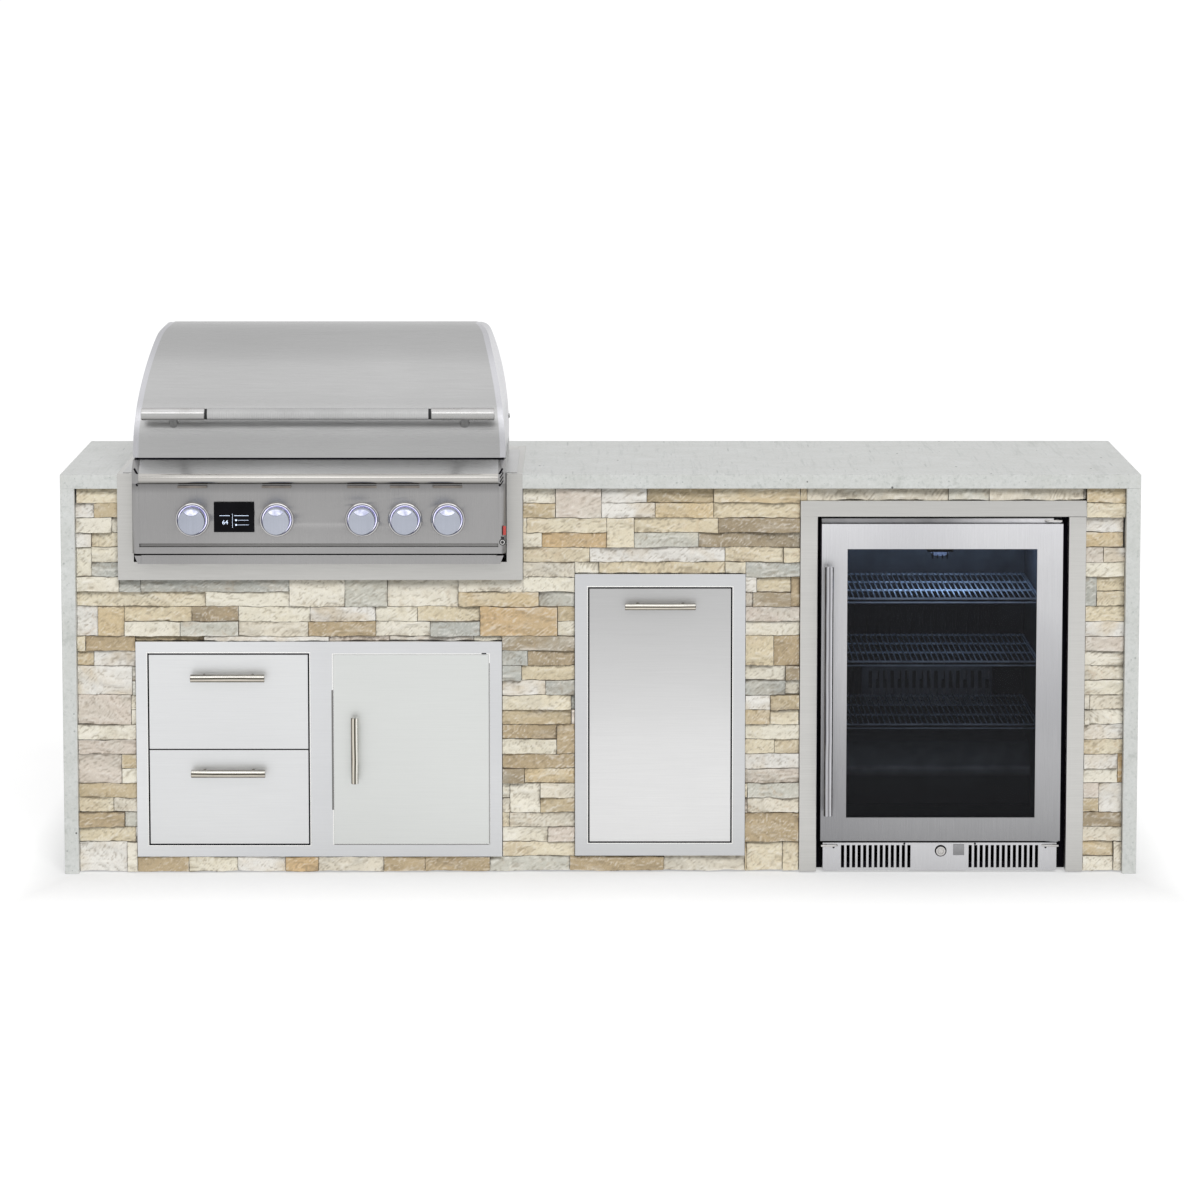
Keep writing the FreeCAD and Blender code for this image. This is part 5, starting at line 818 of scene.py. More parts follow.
def other_finishes():
    return {
        "quartz": quartz_finish(),
        "stone": stone_finish(),
        "glass": glass_finish(),
        "polished": smooth_metal("polished_steel", (206, 204, 202), (168, 166, 164)),
        "chrome": smooth_metal("bezel_chrome", (196, 194, 193), (160, 157, 156), (0.06, 0.14)),
        "small_bar": bar_metal("drawer_bar_steel", SMALL_BAR_PAINTED_SHEEN),
        "tall_bar": bar_metal("door_bar_steel", TALL_BAR_PAINTED_SHEEN),
        "hood_bar": bar_metal("hood_bar_steel", HOOD_BAR_PAINTED_SHEEN, (0.24, 0.34)),
        "halo": glowing("halo_light", (0.95, 0.95, 1), (0.72, 0.72, 0.92), 0.8),
        "glow": glowing("glow_light", (0.17, 0.15, 0.46), (0.10, 0.09, 0.30), 0.55),
        # Painted light on the knobs' tops, from the panel lamps above.
        "lens": glowing("knob_top_painted_light", (0.80, 0.82, 0.92), (0.42, 0.44, 0.60), 0.34, 90.0),
        "digits": glowing("display_digits", (0.75, 0.85, 1.0), (0.5, 0.6, 0.8), 0.7, 300.0),
        "cabin_light": glowing("cabin_light", (0.5, 0.62, 0.9), (0.2, 0.28, 0.5), 0.35, 260.0),
        "top_strip": plain_finish("top_strip_steel", (232, 232, 234), (214, 214, 217), (0.3, 0.4),
                                  fade=STRIP_PAINTED_REFLECTION),
        "ribbed": plain_finish("ribbed_steel", 190, 182, (0.4, 0.5), scale=8.0, metallic=1.0),
        "zinc": plain_finish("zinc_steel", (176, 178, 180), (150, 152, 156), (0.3, 0.5),
                             metallic=1.0),
        "galvanised": plain_finish("galvanised_steel", (170, 174, 178), (136, 140, 146),
                                   (0.4, 0.6), scale=60.0, metallic=1.0),
        "burner": plain_finish("burner_steel", (160, 154, 146), (126, 116, 106), (0.3, 0.55),
                               metallic=1.0),
        "grate": plain_finish("grate_steel", (172, 168, 162), (140, 134, 126), (0.25, 0.45),
                              metallic=1.0),
        "cement": plain_finish("cement_board", (150, 148, 142), (128, 126, 120), (0.85, 0.95),
                               strength=0.5, depth=0.0006),
        "lamp": plain_finish("lamp_lens", (128, 121, 114), (108, 102, 96), (0.3, 0.4)),
        "black_gloss": plain_finish("display_glass", (9, 9, 12), (14, 14, 18), (0.06, 0.1),
                                    strength=0.02, gloss=0.06),
        "red": plain_finish("red_rocker", (214, 84, 78), (196, 70, 64), (0.25, 0.4),
                            fade=ROCKER_FADE),
        "bin": plain_finish("bin_plastic", (44, 45, 47), (34, 35, 37), (0.5, 0.65), strength=0.4),
        "liner": plain_finish("cabinet_liner", (134, 137, 146), (116, 119, 127), (0.6, 0.7),
                              grit=260.0, strength=0.06, gloss=0.15, fade=LINER_PAINTED_LAMPLIGHT),
        "housing": plain_finish("compressor_cover", (138, 136, 136), (110, 109, 110), (0.5, 0.6),
                                grit=260.0, strength=0.06, gloss=0.2, fade=HOUSING_PAINTED_HIGHLIGHT),
        "cover": plain_finish("fan_cover", (18, 19, 23), (11, 12, 16), (0.6, 0.7), grit=260.0,
                              strength=0.06, gloss=0.15),
        "louvre": plain_finish("fan_louvre", (72, 74, 80), (52, 54, 60)),
        "wire": plain_finish("shelf_wire", (196, 206, 220), (164, 176, 194), (0.3, 0.4),
                             strength=0.06, fade=WIRE_PAINTED_LAMPLIGHT),
        "shade": plain_finish("shadow_black", (18, 15, 24), (10, 9, 14), (0.8, 0.9), gloss=0.1),
        "rubber": plain_finish("gasket_rubber", (26, 26, 28), (18, 18, 20), (0.6, 0.75)),
    }


FINISH = brushed_finishes() | other_finishes()


# Stone cladding

def mark_stones(piece, seed):
    """Give every loose block its own tone and vein share."""
    parent = list(range(len(piece.data.vertices)))

    def root(index):
        while parent[index] != index:
            parent[index] = parent[parent[index]]
            index = parent[index]
        return index

    for edge in piece.data.edges:
        a, b = root(edge.vertices[0]), root(edge.vertices[1])
        if a != b:
            parent[b] = a
    dice = random.Random(seed)
    looks = {}
    tones = piece.data.attributes.new("stone_tone", "FLOAT", "POINT")
    veins = piece.data.attributes.new("stone_vein", "FLOAT", "POINT")
    for index in range(len(parent)):
        stone = root(index)
        if stone not in looks:
            looks[stone] = (dice.random(), max(0.0, dice.random() * 1.5 - 0.5))
        tones.data[index].value, veins.data[index].value = looks[stone]


FACE_DEPTH = 0.012
SPLITS = (("VORONOI", 2.6, 9, 0.050, 0.0120), ("VORONOI", 2.3, -14, 0.022, 0.0046),
          ("CLOUDS", 2.2, 10, 0.034, 0.0056), ("CLOUDS", 1.2, 0, 0.011, 0.0018))


def split_face(piece, side, finest):
    """Break the outer face of every block into a fine net and split it along slanting beds."""
    edit(piece)
    bpy.ops.mesh.bevel(offset=0.0006, segments=1, affect="EDGES")
    done()
    seat = min(v.co.y * side for v in piece.data.vertices) + FACE_DEPTH

    def long_edge(edge):
        a, b = edge.verts[0].co, edge.verts[1].co
        return (min(a.y * side, b.y * side) > seat and (a - b).length > finest
                and abs(a.y - b.y) < 0.002)

    edit(piece)
    for _ in range(7):
        pick(piece, long_edge)
        bpy.ops.mesh.subdivide(number_cuts=1, quadcorner="STRAIGHT_CUT")
    done()
    front = piece.vertex_groups.new(name="front")
    front.add([v.index for v in piece.data.vertices if v.co.y * side > seat], 1.0, "ADD")
    flat = [v.co.y for v in piece.data.vertices]
    for kind, wide, tilt, size, depth in SPLITS:
        beds = linked("stone_beds", None)
        beds.scale = (wide, 0.03, 1)
        beds.rotation_euler = (0, math.radians(tilt), 0)
        bpy.context.view_layer.update()
        pattern = bpy.data.textures.new("split_" + kind.lower(), kind)
        pattern.noise_scale = size
        if kind == "CLOUDS":
            pattern.noise_depth = 4
            pattern.noise_type = "HARD_NOISE"
        worked(piece, "DISPLACE", texture=pattern, texture_coords="OBJECT",
               texture_coords_object=beds, direction="Y", strength=depth * side,
               mid_level=0.5, vertex_group="front")
        removed(beds)
    mark_hollows(piece, flat, side)
    waves = bpy.data.textures.new("wavy_beds", "CLOUDS")
    waves.noise_scale = 0.045
    worked(piece, "DISPLACE", texture=waves, texture_coords="LOCAL", direction="Z",
           strength=0.0058, mid_level=0.5, vertex_group="front")
    piece.vertex_groups.clear()
    return smooth(piece, 28)


def pick(piece, test):
    """Select the edges of the piece in edit mode that pass a test."""
    bpy.ops.mesh.select_mode(type="EDGE")
    bpy.ops.mesh.select_all(action="DESELECT")
    shape = bmesh.from_edit_mesh(piece.data)
    for edge in shape.edges:
        if test(edge):
            edge.select_set(True)
    shape.select_flush_mode()
    bmesh.update_edit_mesh(piece.data)


def mark_hollows(piece, flat, side):
    """Keep how deep each point lies below its surroundings, from 0 on a ridge to 1 in a crack; the
    stone finish paints shade and highlight from it.
    """
    points = piece.data.vertices
    raised = [(v.co.y - y) * side for v, y in zip(points, flat)]
    around = raised[:]
    for _ in range(3):
        total, count = [0.0] * len(points), [0] * len(points)
        for edge in piece.data.edges:
            a, b = edge.vertices
            total[a] += around[b]
            total[b] += around[a]
            count[a] += 1
            count[b] += 1
        around = [t / c if c else 0.0 for t, c in zip(total, count)]
    depths = piece.data.attributes.new("stone_hollow", "FLOAT", "POINT")
    for index, (height, near) in enumerate(zip(raised, around)):
        depths.data[index].value = min(1.0, max(0.0, 0.5 + (near - height) / 0.004))


def front_stones():
    piece = linked("stacked_stones_front", nodes["ledger_stones_front"].data.copy())
    edit(piece)
    bpy.ops.mesh.remove_doubles(threshold=0.00005)
    bpy.ops.mesh.dissolve_limited(angle_limit=math.radians(2))
    done()
    mark_stones(piece, 3)
    split_face(piece, -1, 0.0065)
    finish_as(piece, "stone", "island", "ledger_stones_front")


def rear_stones():
    """Courses of stones of random length and depth, added one by one."""
    low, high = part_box("ledger_panels_back")
    dice = random.Random(5)
    joint, shortest, rows = 0.0004, 0.04, 26
    course = (high.z - low.z) / rows
    deselect()
    piece = None
    z = low.z
    for _ in range(rows):
        x = low.x
        while x < high.x - 0.001:
            length = min(0.07 + 0.23 * dice.random(), high.x - x)
            if high.x - x - length < shortest:
                length = high.x - x
            back = high.y - 0.012 * dice.random()
            size = Vector((length - joint, back - low.y, course - joint))
            middle = Vector((x + length / 2, (back + low.y) / 2, z + course / 2))
            bpy.ops.mesh.primitive_cube_add(size=1, location=middle, scale=size)
            if piece is None:
                piece = bpy.context.object
                piece.name = "stacked_stones_back"
                apply_place()
                bpy.ops.object.mode_set(mode="EDIT")
            x += length
        z += course
    done()
    mark_stones(piece, 11)
    split_face(piece, 1, 0.011)
    finish_as(piece, "stone", "island", "ledger_panels_back")


# Grill hood

GRILL_X = -0.633
PANEL_HALF = 0.419
SLAB_FRONT = -0.329
HOOD_LOW = 0.954
HOOD_TOP = 1.235
HOOD_REAR_LOW = 1.060
HOOD_PIVOT = (0.171, 1.000)
HOOD_HEEL = 0.044
HANDLE_LENGTH = 0.791
HANDLE_AXIS = (SLAB_FRONT - 0.062, 1.057)


def shoulder(foot, run, rise, foot_radius, shrink, count=26):
    """Points of two tangent arcs from an upright foot to a level crown."""
    side = 1 if run > 0 else -1
    wide = abs(run)
    crown = (wide ** 2 + rise ** 2 - 2 * wide * foot_radius) / (2 * (rise - foot_radius))
    low = Vector((foot[0] + side * foot_radius, foot[1]))
    high = Vector((foot[0] + run, foot[1] + rise - crown))
    lean = low - high
    turn = math.degrees(math.atan2(lean.y, lean.x * -side))
    if crown < foot_radius:
        turn += 180
    first = arc(low, foot_radius - shrink, 0, turn % 360, count)
    second = arc(high, crown - shrink, turn % 360, 90, count)[1:]
    return [(centre.x - side * (x - centre.x), y)
            for centre, points in ((low, first), (high, second)) for x, y in points]


def hood_view(shrink):
    """Points of the hood's side view, from the front foot over the crown to the rear edge."""
    front = SLAB_FRONT - 0.014
    crown = SLAB_FRONT + 0.300
    back = SLAB_FRONT + 0.546
    rolled = shoulder((front, HOOD_LOW + 0.026), crown - front, HOOD_TOP - HOOD_LOW - 0.026,
                      0.190, shrink)
    rear = shoulder((back, HOOD_REAR_LOW), crown - back, HOOD_TOP - HOOD_REAR_LOW, 0.120, shrink)
    return rolled + rear[::-1][1:]


def hood_prism(name, outline):
    return prism(name, "x", outline, GRILL_X - PANEL_HALF - 0.01, 2 * PANEL_HALF + 0.02)


def hood_side(name, shrink, low):
    """The hood's side view carried across, rounded about its hinge at the rear."""
    view = hood_view(shrink)
    heel = arc(HOOD_PIVOT, HOOD_HEEL - shrink, 0, -90, 8)
    foot = HOOD_PIVOT[0] - shrink
    outline = [(view[0][0], low)] + view + heel
    if shrink:
        outline.append((foot, heel[-1][1]))
    return hood_prism(name, outline + [(foot, low)])


def hood_front(name, shift, shrink):
    """The hood's front view carried back, from below its foot."""
    half = PANEL_HALF - shift
    low = HOOD_LOW - 0.035
    rise = HOOD_TOP - HOOD_LOW + 0.001
    left = shoulder((GRILL_X - half, HOOD_LOW), 0.073, rise, 0.850, shrink)
    right = shoulder((GRILL_X + half, HOOD_LOW), -0.073, rise, 0.850, shrink)
    outline = [(GRILL_X - half + shrink, low)] + left + right[::-1]
    outline += [(GRILL_X + half - shrink, low)]
    return prism(name, "y", outline, SLAB_FRONT - 0.03, 0.60)


def hood():
    """Two end caps round the hinge and one proud skin between them, open at the rear foot."""
    ends = carve(hood_side("hood_ends", 0, HOOD_LOW), hood_front("view", 0, 0), "INTERSECT")
    inside = carve(hood_side("inside", 0.002, HOOD_LOW - 0.012), hood_front("view", 0, 0.002),
                   "INTERSECT")
    carve(ends, inside)
    carve(ends, hood_front("core", 0.0152, -0.0024))
    carve(ends, bar("pin", "x", (GRILL_X - 0.43, *HOOD_PIVOT), 0.86, 0.0053))
    finish_as(smooth(outward(ends), 25), "hood_end", "hood", "hood_end_caps")
    outer, inner = hood_view(-0.0012), hood_view(0.002)
    band = [(outer[0][0], HOOD_LOW)] + outer + inner[::-1] + [(inner[0][0], HOOD_LOW)]
    skin = carve(hood_prism("hood_shell", band), hood_front("core", 0.0149, -0.0024), "INTERSECT")
    finish_as(smooth(outward(skin), 25), "hood", "hood", "hood_skin")


def hood_handle():
    """Smooth grips at both ends, dark rings beside them, ribs between, and two leaning posts."""
    left = GRILL_X - HANDLE_LENGTH / 2
    grip, ring, overlap = 0.142, 0.006, 0.0005
    grips = [bar("grip", "x", (start, *HANDLE_AXIS), grip, 0.014, 0.0015, 48)
             for start in (left, left + HANDLE_LENGTH - grip)]
    finish_as(joined("hood_handle_grips", grips), "hood_bar", "hood", "hood_handle_bar")
    rings = [bar("ring", "x", (start, *HANDLE_AXIS), ring + 2 * overlap, 0.0122, 0.0003, 48)
             for start in (left + grip - overlap, left + HANDLE_LENGTH - grip - ring - overlap)]
    finish_as(joined("hood_handle_rings", rings), "rubber", "hood")
    count = 126
    pitch = (HANDLE_LENGTH - 2 * grip - 2 * ring) / count
    rib = turned("hood_handle_ribs", [(0, 0.0132), (pitch * 0.3, 0.0137), (pitch * 0.7, 0.0137),
                                      (pitch, 0.0132)], 40)
    repeated(rib, count, (0, 0, pitch), use_merge_vertices=True, merge_threshold=0.00001)
    settle(rib, (left + grip + ring, *HANDLE_AXIS), AXES["x"])
    finish_as(smooth(rib, 20), "ribbed", "hood")
    profile = [(0, 0.0088), (0.052, 0.0088), (0.056, 0.0115), (0.0592, 0.0118), (0.0592, 0)]
    posts = [settle(turned("post", profile, 32),
                    (GRILL_X + place, HANDLE_AXIS[0] + 0.003, HANDLE_AXIS[1] - 0.004),
                    (math.radians(-90 - 22), 0, 0)) for place in (-0.3275, 0.3275)]
    finish_as(joined("hood_handle_stands", posts), "steel", "hood", "hood_handle_posts")


# Control panel

FACE = SLAB_FRONT - 0.062
PANEL_LOW, DECK = 0.742, 0.950
KNOB_PLACES = (-0.283, -0.094, 0.098, 0.194, 0.290)
KNOB_HEIGHT = 0.819
CAP = 0.016
HALF_ROOT = 0.7071
LIGHTER_X, LIGHTER_Z = -0.2205, 0.768


def panel_outline():
    """The panel's section from the deck over the rounded edge down to the face."""
    nose, radius = (FACE + 0.006, 0.9115), 0.0135
    rise, run = DECK - nose[1], SLAB_FRONT - 0.018 - nose[0]
    start = math.degrees(math.atan2(rise, run) + math.acos(radius / math.hypot(rise, run)))
    low_z = nose[1] - math.sqrt(radius ** 2 - 0.006 ** 2)
    end = math.degrees(math.atan2(low_z - nose[1], FACE - nose[0])) % 360
    back = SLAB_FRONT + 0.015
    deck = [(back, DECK - 0.002), (back, DECK), (SLAB_FRONT - 0.018, DECK)]
    return deck + arc(nose, radius, start, end, 20), low_z


def panel_sheet(upper, low_z):
    """The folded, drilled sheet, with its rounded edge and deck in their own finishes: lit and shaded
    copies of one steel, the rounded edge with a painted highlight.
    """
    inner = FACE + 0.008
    outline = upper + [(FACE, 0.765), (FACE + 0.006, 0.765), (FACE + 0.006, 0.757),
                       (FACE, 0.757), (FACE, PANEL_LOW), (SLAB_FRONT, PANEL_LOW),
                       (SLAB_FRONT, PANEL_LOW + 0.002), (inner, PANEL_LOW + 0.002),
                       (inner, 0.767), (FACE + 0.002, 0.767), (FACE + 0.002, low_z + 0.002),
                       (SLAB_FRONT - 0.018, DECK - 0.006)]
    panel = prism("panel_sheet", "x", outline, GRILL_X - PANEL_HALF + CAP,
                  2 * (PANEL_HALF - CAP))
    for place in KNOB_PLACES:
        carve(panel, bar("hole", "y", (GRILL_X + place, FACE - 0.01, KNOB_HEIGHT), 0.03, 0.010))
    finish_as(eased(panel, 0.0006, 2, 25), "panel", "island", "control_panel")
    panel.data.materials.append(FINISH["nose"])
    panel.data.materials.append(FINISH["deck"])
    nose_low, nose_high = 0.8990, 0.9262
    for side in panel.data.polygons:
        place, normal = side.center, side.normal
        if place.z >= nose_high:
            side.material_index = 2
        elif place.z > nose_low and place.y < FACE + 0.008 and normal.y < -0.02:
            side.material_index = 1


def panel_end(side, outline):
    """An end of the panel with a bevelled front corner, and four slanted slits in the bevel, each with
    a dark block of painted shade behind it.
    """
    start = GRILL_X + side * PANEL_HALF - (CAP if side > 0 else 0)
    end = prism("panel_end", "x", outline, start, CAP)
    tip = Vector((GRILL_X + side * PANEL_HALF, FACE - 0.0075 + CAP, 0.8))
    lean = Vector((side * HALF_ROOT, -HALF_ROOT, 0))
    across = Vector((side * HALF_ROOT, HALF_ROOT, 0))
    edit(end)
    bpy.ops.mesh.bisect(plane_co=tip, plane_no=lean, use_fill=True, clear_outer=True)
    face_out()
    done()
    middle = tip - across * CAP * HALF_ROOT + Vector((0, 0, 0.101))
    turn = Matrix((across, -lean, (0, 0, 1))).transposed().to_4x4()
    tilt = Matrix.Rotation(math.radians(-48), 4, "Y")
    slit_shadows = []
    for step in range(4):
        place = Matrix.Translation(middle + Vector((0, 0, 0.0090 * step))) @ turn @ tilt
        pair = [block("slit", (-0.0078, -0.004, -0.0016), (0.0078, 0.004, 0.0016)),
                block("slit_shadow", (-0.0076, 0.0006, -0.0015), (0.0076, 0.0038, 0.0015))]
        for piece in pair:
            piece.matrix_world = place
            only(piece)
            apply_place()
        carve(end, pair[0])
        slit_shadows.append(pair[1])
    return eased(end, 0.0004, 1, 28), slit_shadows


def control_panel():
    left, right = GRILL_X - PANEL_HALF, GRILL_X + PANEL_HALF
    upper, low_z = panel_outline()
    panel_sheet(upper, low_z)
    outline = upper + [(FACE, PANEL_LOW), (SLAB_FRONT + 0.015, PANEL_LOW)]
    caps, slit_shadows = zip(*[panel_end(side, outline) for side in (-1, 1)])
    finish_as(joined("panel_ends", caps), "panel", "island")
    finish_as(joined("panel_end_slit_shadows", slit_shadows[0] + slit_shadows[1]), "shade", "island")
    for name, depth, length, radius, ease, finish in (
            ("lighter_socket", 0.0030, 0.006, 0.0034, 0.0006, "rubber"),
            ("lighter_collar", 0.0018, 0.004, 0.0056, 0.0006, "chrome"),
            ("lighter_rim", 0.0008, 0.003, 0.0074, 0.0004, "rubber")):
        part = bar(name, "y", (LIGHTER_X, FACE - depth, LIGHTER_Z), length, radius, ease, 32)
        if name == "lighter_rim":
            clip = block("clip", (LIGHTER_X - 0.003, FACE - 0.0020, LIGHTER_Z + 0.0075),
                         (LIGHTER_X + 0.004, FACE + 0.001, LIGHTER_Z + 0.0120), 0.0004)
            part = joined(name, [part, clip])
        finish_as(part, finish, "island")
    # Painted shade: a darker steel strip at the back of the panel's groove.
    groove = block("panel_groove", (left + CAP, FACE + 0.0035, 0.7575),
                   (right - CAP, FACE + 0.0058, 0.7645), 0.0008)
    finish_as(groove, "groove", "island")
    # Painted shadow: dark strips in the gap under the hood's front and in the gap under the panel's
    # lip.
    shadow_fills = [block("shadow_fill", (left + 0.004, SLAB_FRONT - 0.0165, DECK),
                   (right - 0.004, SLAB_FRONT - 0.008, DECK + 0.0038), 0.0004),
             block("shadow_fill", (left + 0.02, FACE + 0.010, PANEL_LOW - 0.0078),
                   (right - 0.02, FACE + 0.018, PANEL_LOW - 0.0002), 0.0004)]
    finish_as(joined("grill_gap_shadows", shadow_fills), "shade", "island")


def jacket_covers():
    """Fillers at the jacket's front corners and a vented plate behind the firebox."""
    fillers = []
    for side in (-1, 1):
        ends = sorted((GRILL_X + side * 0.4205, GRILL_X + side * 0.4302))
        fillers.append(block("filler", (ends[0], SLAB_FRONT - 0.002, 0.9135),
                             (ends[1], SLAB_FRONT + 0.030, 0.9161), 0.0003))
    finish_as(joined("jacket_corner_fillers", fillers), "jacket", "island")
    cover = block("rear_vent_cover", (GRILL_X - 0.4400, 0.1915, 0.9162),
                  (GRILL_X + 0.4400, 0.2790, 0.9176), 0.0004)
    slots = [block("slot", (GRILL_X - 0.396 + 0.068 * step, y, 0.91),
                   (GRILL_X - 0.352 + 0.068 * step, y + 0.006, 0.93))
             for step in range(12) for y in (0.226, 0.244)]
    carve(cover, joined("slots", slots))
    finish_as(cover, "jacket", "island")


def tray_front():
    """The drip tray's folded lip and the slanted corners of its front."""
    low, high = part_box("drip_tray")
    pieces = [block("lip", (low.x + 0.001, low.y, high.z - 0.0005),
                    (high.x - 0.001, low.y + 0.004, high.z + 0.0052), 0.0004)]
    for side, edge in ((-1, low.x), (1, high.x)):
        outline = [(edge - side * 0.001, low.z), (edge + side * 0.007, low.z),
                   (edge + side * 0.015, high.z + 0.004), (edge - side * 0.001, high.z + 0.004)]
        pieces.append(eased(prism("corner", "y", outline, low.y, 0.002), 0.0003, 1))
    finish_as(outward(joined("drip_tray_front", pieces)), "panel", "drip_pan")


def knobs():
    """One knob with its lit ring and a glowing crescent of painted light on its top is modelled and
    copied to the five places.
    """
    front, depth, lit_top_z = -0.433, 0.038, 0.0347
    body = turned("knob", [(0, 0), (0, 0.0268), (0.0012, 0.0292), (0.003, 0.0300),
                           (depth - 0.002, 0.0300), (depth, 0.0290), (depth, 0.0048),
                           (0.012, 0.0048), (0.012, 0)], 72)
    settle(body, (0, front, 0), AXES["y"])
    pocket = turned("pocket", [(-0.004, 0), (-0.004, 0.0222), (0.003, 0.0222), (0.003, 0)], 64)
    carve(body, settle(pocket, (0, front, lit_top_z), AXES["y"]))
    eased(body, 0.0003, 1, 40)
    # Painted light: the glowing crescent stands for the panel lamps' light falling on the knob's top.
    lens = turned("knob_lit_top", [(0, 0), (0, 0.0214), (0.0016, 0.0218), (0.0018, 0)], 64)
    settle(lens, (0, front + 0.0012, lit_top_z), AXES["y"])
    limit = turned("limit", [(-0.01, 0), (-0.01, 0.0272), (0.01, 0.0272), (0.01, 0)], 72)
    carve(lens, settle(limit, (0, front, 0), AXES["y"]), "INTERSECT")
    smooth(lens, 30)
    halo = turned("knob_halo", [(0, 0.0308), (0.0016, 0.0312), (0.0024, 0.0334),
                                (0.0017, 0.0352), (0, 0.0352)], 72)
    glow = turned("knob_glow", [(0, 0.0262), (0.0004, 0.0266), (0.0006, 0.0308), (0, 0.0312)], 72)
    ring = turned("knob_ring", [(0, 0.0325), (0.0038, 0.0328), (0.0056, 0.0340),
                                (0.0060, 0.0356), (0.0052, 0.0374), (0.0028, 0.0387),
                                (0, 0.0390)], 96)
    for piece in (halo, glow, ring):
        settle(piece, (0, FACE, 0), TO_FRONT)
    rings = []
    for number, place in enumerate(KNOB_PLACES, 1):
        spot = (GRILL_X + place, 0, KNOB_HEIGHT)
        finish_as(copied(body, f"knob_body_{number}", spot), "knob", f"dial_{number}",
                  f"knob_{number}")
        finish_as(copied(lens, f"knob_lit_top_{number}", spot), "lens", f"dial_{number}")
        finish_as(copied(halo, f"knob_halo_{number}", spot), "halo", "island")
        finish_as(copied(glow, f"knob_glow_{number}", spot), "glow", "island")
        rings.append(copied(ring, "ring", spot))
    finish_as(joined("knob_chrome_rings", rings), "chrome", "island", "knob_bezels")
    removed(body, lens, halo, glow, ring)


def display():
    """A dark window with plain digits and bars standing a hair proud of it."""
    low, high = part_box("temperature_display")
    finish_as(block("display_window", low, high, 0.0012, 3), "black_gloss", "island",
              "temperature_display")
    deselect()
    bpy.ops.object.text_add(location=(0, 0, 0))
    digits = bpy.context.object
    digits.data.body = "64"
    digits.data.size = 0.0135
    digits.data.extrude = 0.00008
    bpy.ops.object.convert(target="MESH")
    marks = [settle(bpy.context.object, (low.x + 0.0185, low.y - 0.0001, low.z + 0.018), TO_FRONT)]
    for x0, x1, z0, z1 in ((0.0415, 0.0421, 0.010, 0.042), (0.048, 0.052, 0.0255, 0.0290),
                           (0.048, 0.052, 0.0150, 0.0185), (0.054, 0.078, 0.0268, 0.0275),
                           (0.054, 0.078, 0.0163, 0.0170), (0.013, 0.036, 0.0370, 0.0380),
                           (0.046, 0.078, 0.0370, 0.0380)):
        marks.append(block("mark", low + Vector((x0, -0.0003, z0)), low + Vector((x1, 0.0002, z1))))
    finish_as(joined("display_figures", marks), "digits", "island")


# Handles

def pull(name, body, node, axis, width, stand, inset, finish):
    """A straight bar handle on two posts, from its CAD box."""
    low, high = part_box(node)
    length = high.x - low.x if axis == "x" else high.z - low.z
    centre = (low + high) / 2
    y = low.y + (0.006 if width < 0.019 else width / 2)
    start = Vector((low.x, y, centre.z) if axis == "x" else (centre.x, y, low.z))
    reach = high.y - y
    pieces = [bar("bar", axis, start, length, width / 2, 0.0009, 40)]
    for place in (inset, length - inset):
        post = turned("post", [(0, stand * 0.36), (reach - 0.002, stand * 0.36),
                               (reach - 0.001, stand * 0.5), (reach, stand * 0.5), (reach, 0)], 24)
        shift = (place, 0, 0) if axis == "x" else (0, 0, place)
        pieces.append(settle(post, start + Vector(shift), AXES["y"]))
    finish_as(joined(name, pieces), finish, body, node)


def handles():
    small = (0.011, 0.0288, "small_bar")
    pull("upper_drawer_pull", "upper_drawer", "drawer_upper_handle", "x", 0.0180, *small)
    pull("lower_drawer_pull", "lower_drawer", "drawer_lower_handle", "x", 0.0180, *small)
    pull("door_pull", "door", "storage_door_handle", "z", 0.0165, *small)
    pull("bin_pull", "bin_pullout", "trash_handle", "x", 0.0150, *small)
    pull("refrigerator_pull", "refrigerator_door", "fridge_handle", "z", 0.020, 0.016, 0.028,
         "tall_bar")


# Refrigerator

LAMP_X = 0.7725


def wire_shelves():
    """One wire shelf with its rails is modelled and copied up the cabinet."""
    low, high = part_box("fridge_shelves")
    base, edge = low.z + 0.0025, 0.0025
    across, deep = high.x - low.x, high.y - low.y
    wires = [bar("rail", "x", (low.x, y, base), across, 0.0023, 0.0004, 10)
             for y in (low.y + edge, low.y + deep / 3, high.y - deep / 3, high.y - edge)]
    wires.append(bar("lip", "x", (low.x + 0.004, low.y + 0.003, base - 0.009), across - 0.008,
                     0.0018, 0.0004, 10))
    wires += [bar("side", "y", (x, low.y, base), deep, 0.0023, 0.0004, 10)
              for x in (low.x + edge, high.x - edge)]
    count, margin = 37, 0.01
    thin = bar("thin", "y", (low.x + margin, low.y + 0.002, base + 0.0028), deep - 0.004, 0.0016,
               0.0003, 8)
    wires.append(repeated(thin, count, ((across - 2 * margin) / (count - 1), 0, 0)))
    shelf = joined("wire_shelf", wires)
    shelves = [copied(shelf, "shelf", (0, 0, 0.145 * step)) for step in range(3)]
    removed(shelf)
    finish_as(joined("wire_shelves", shelves), "wire", "island", "fridge_shelves")


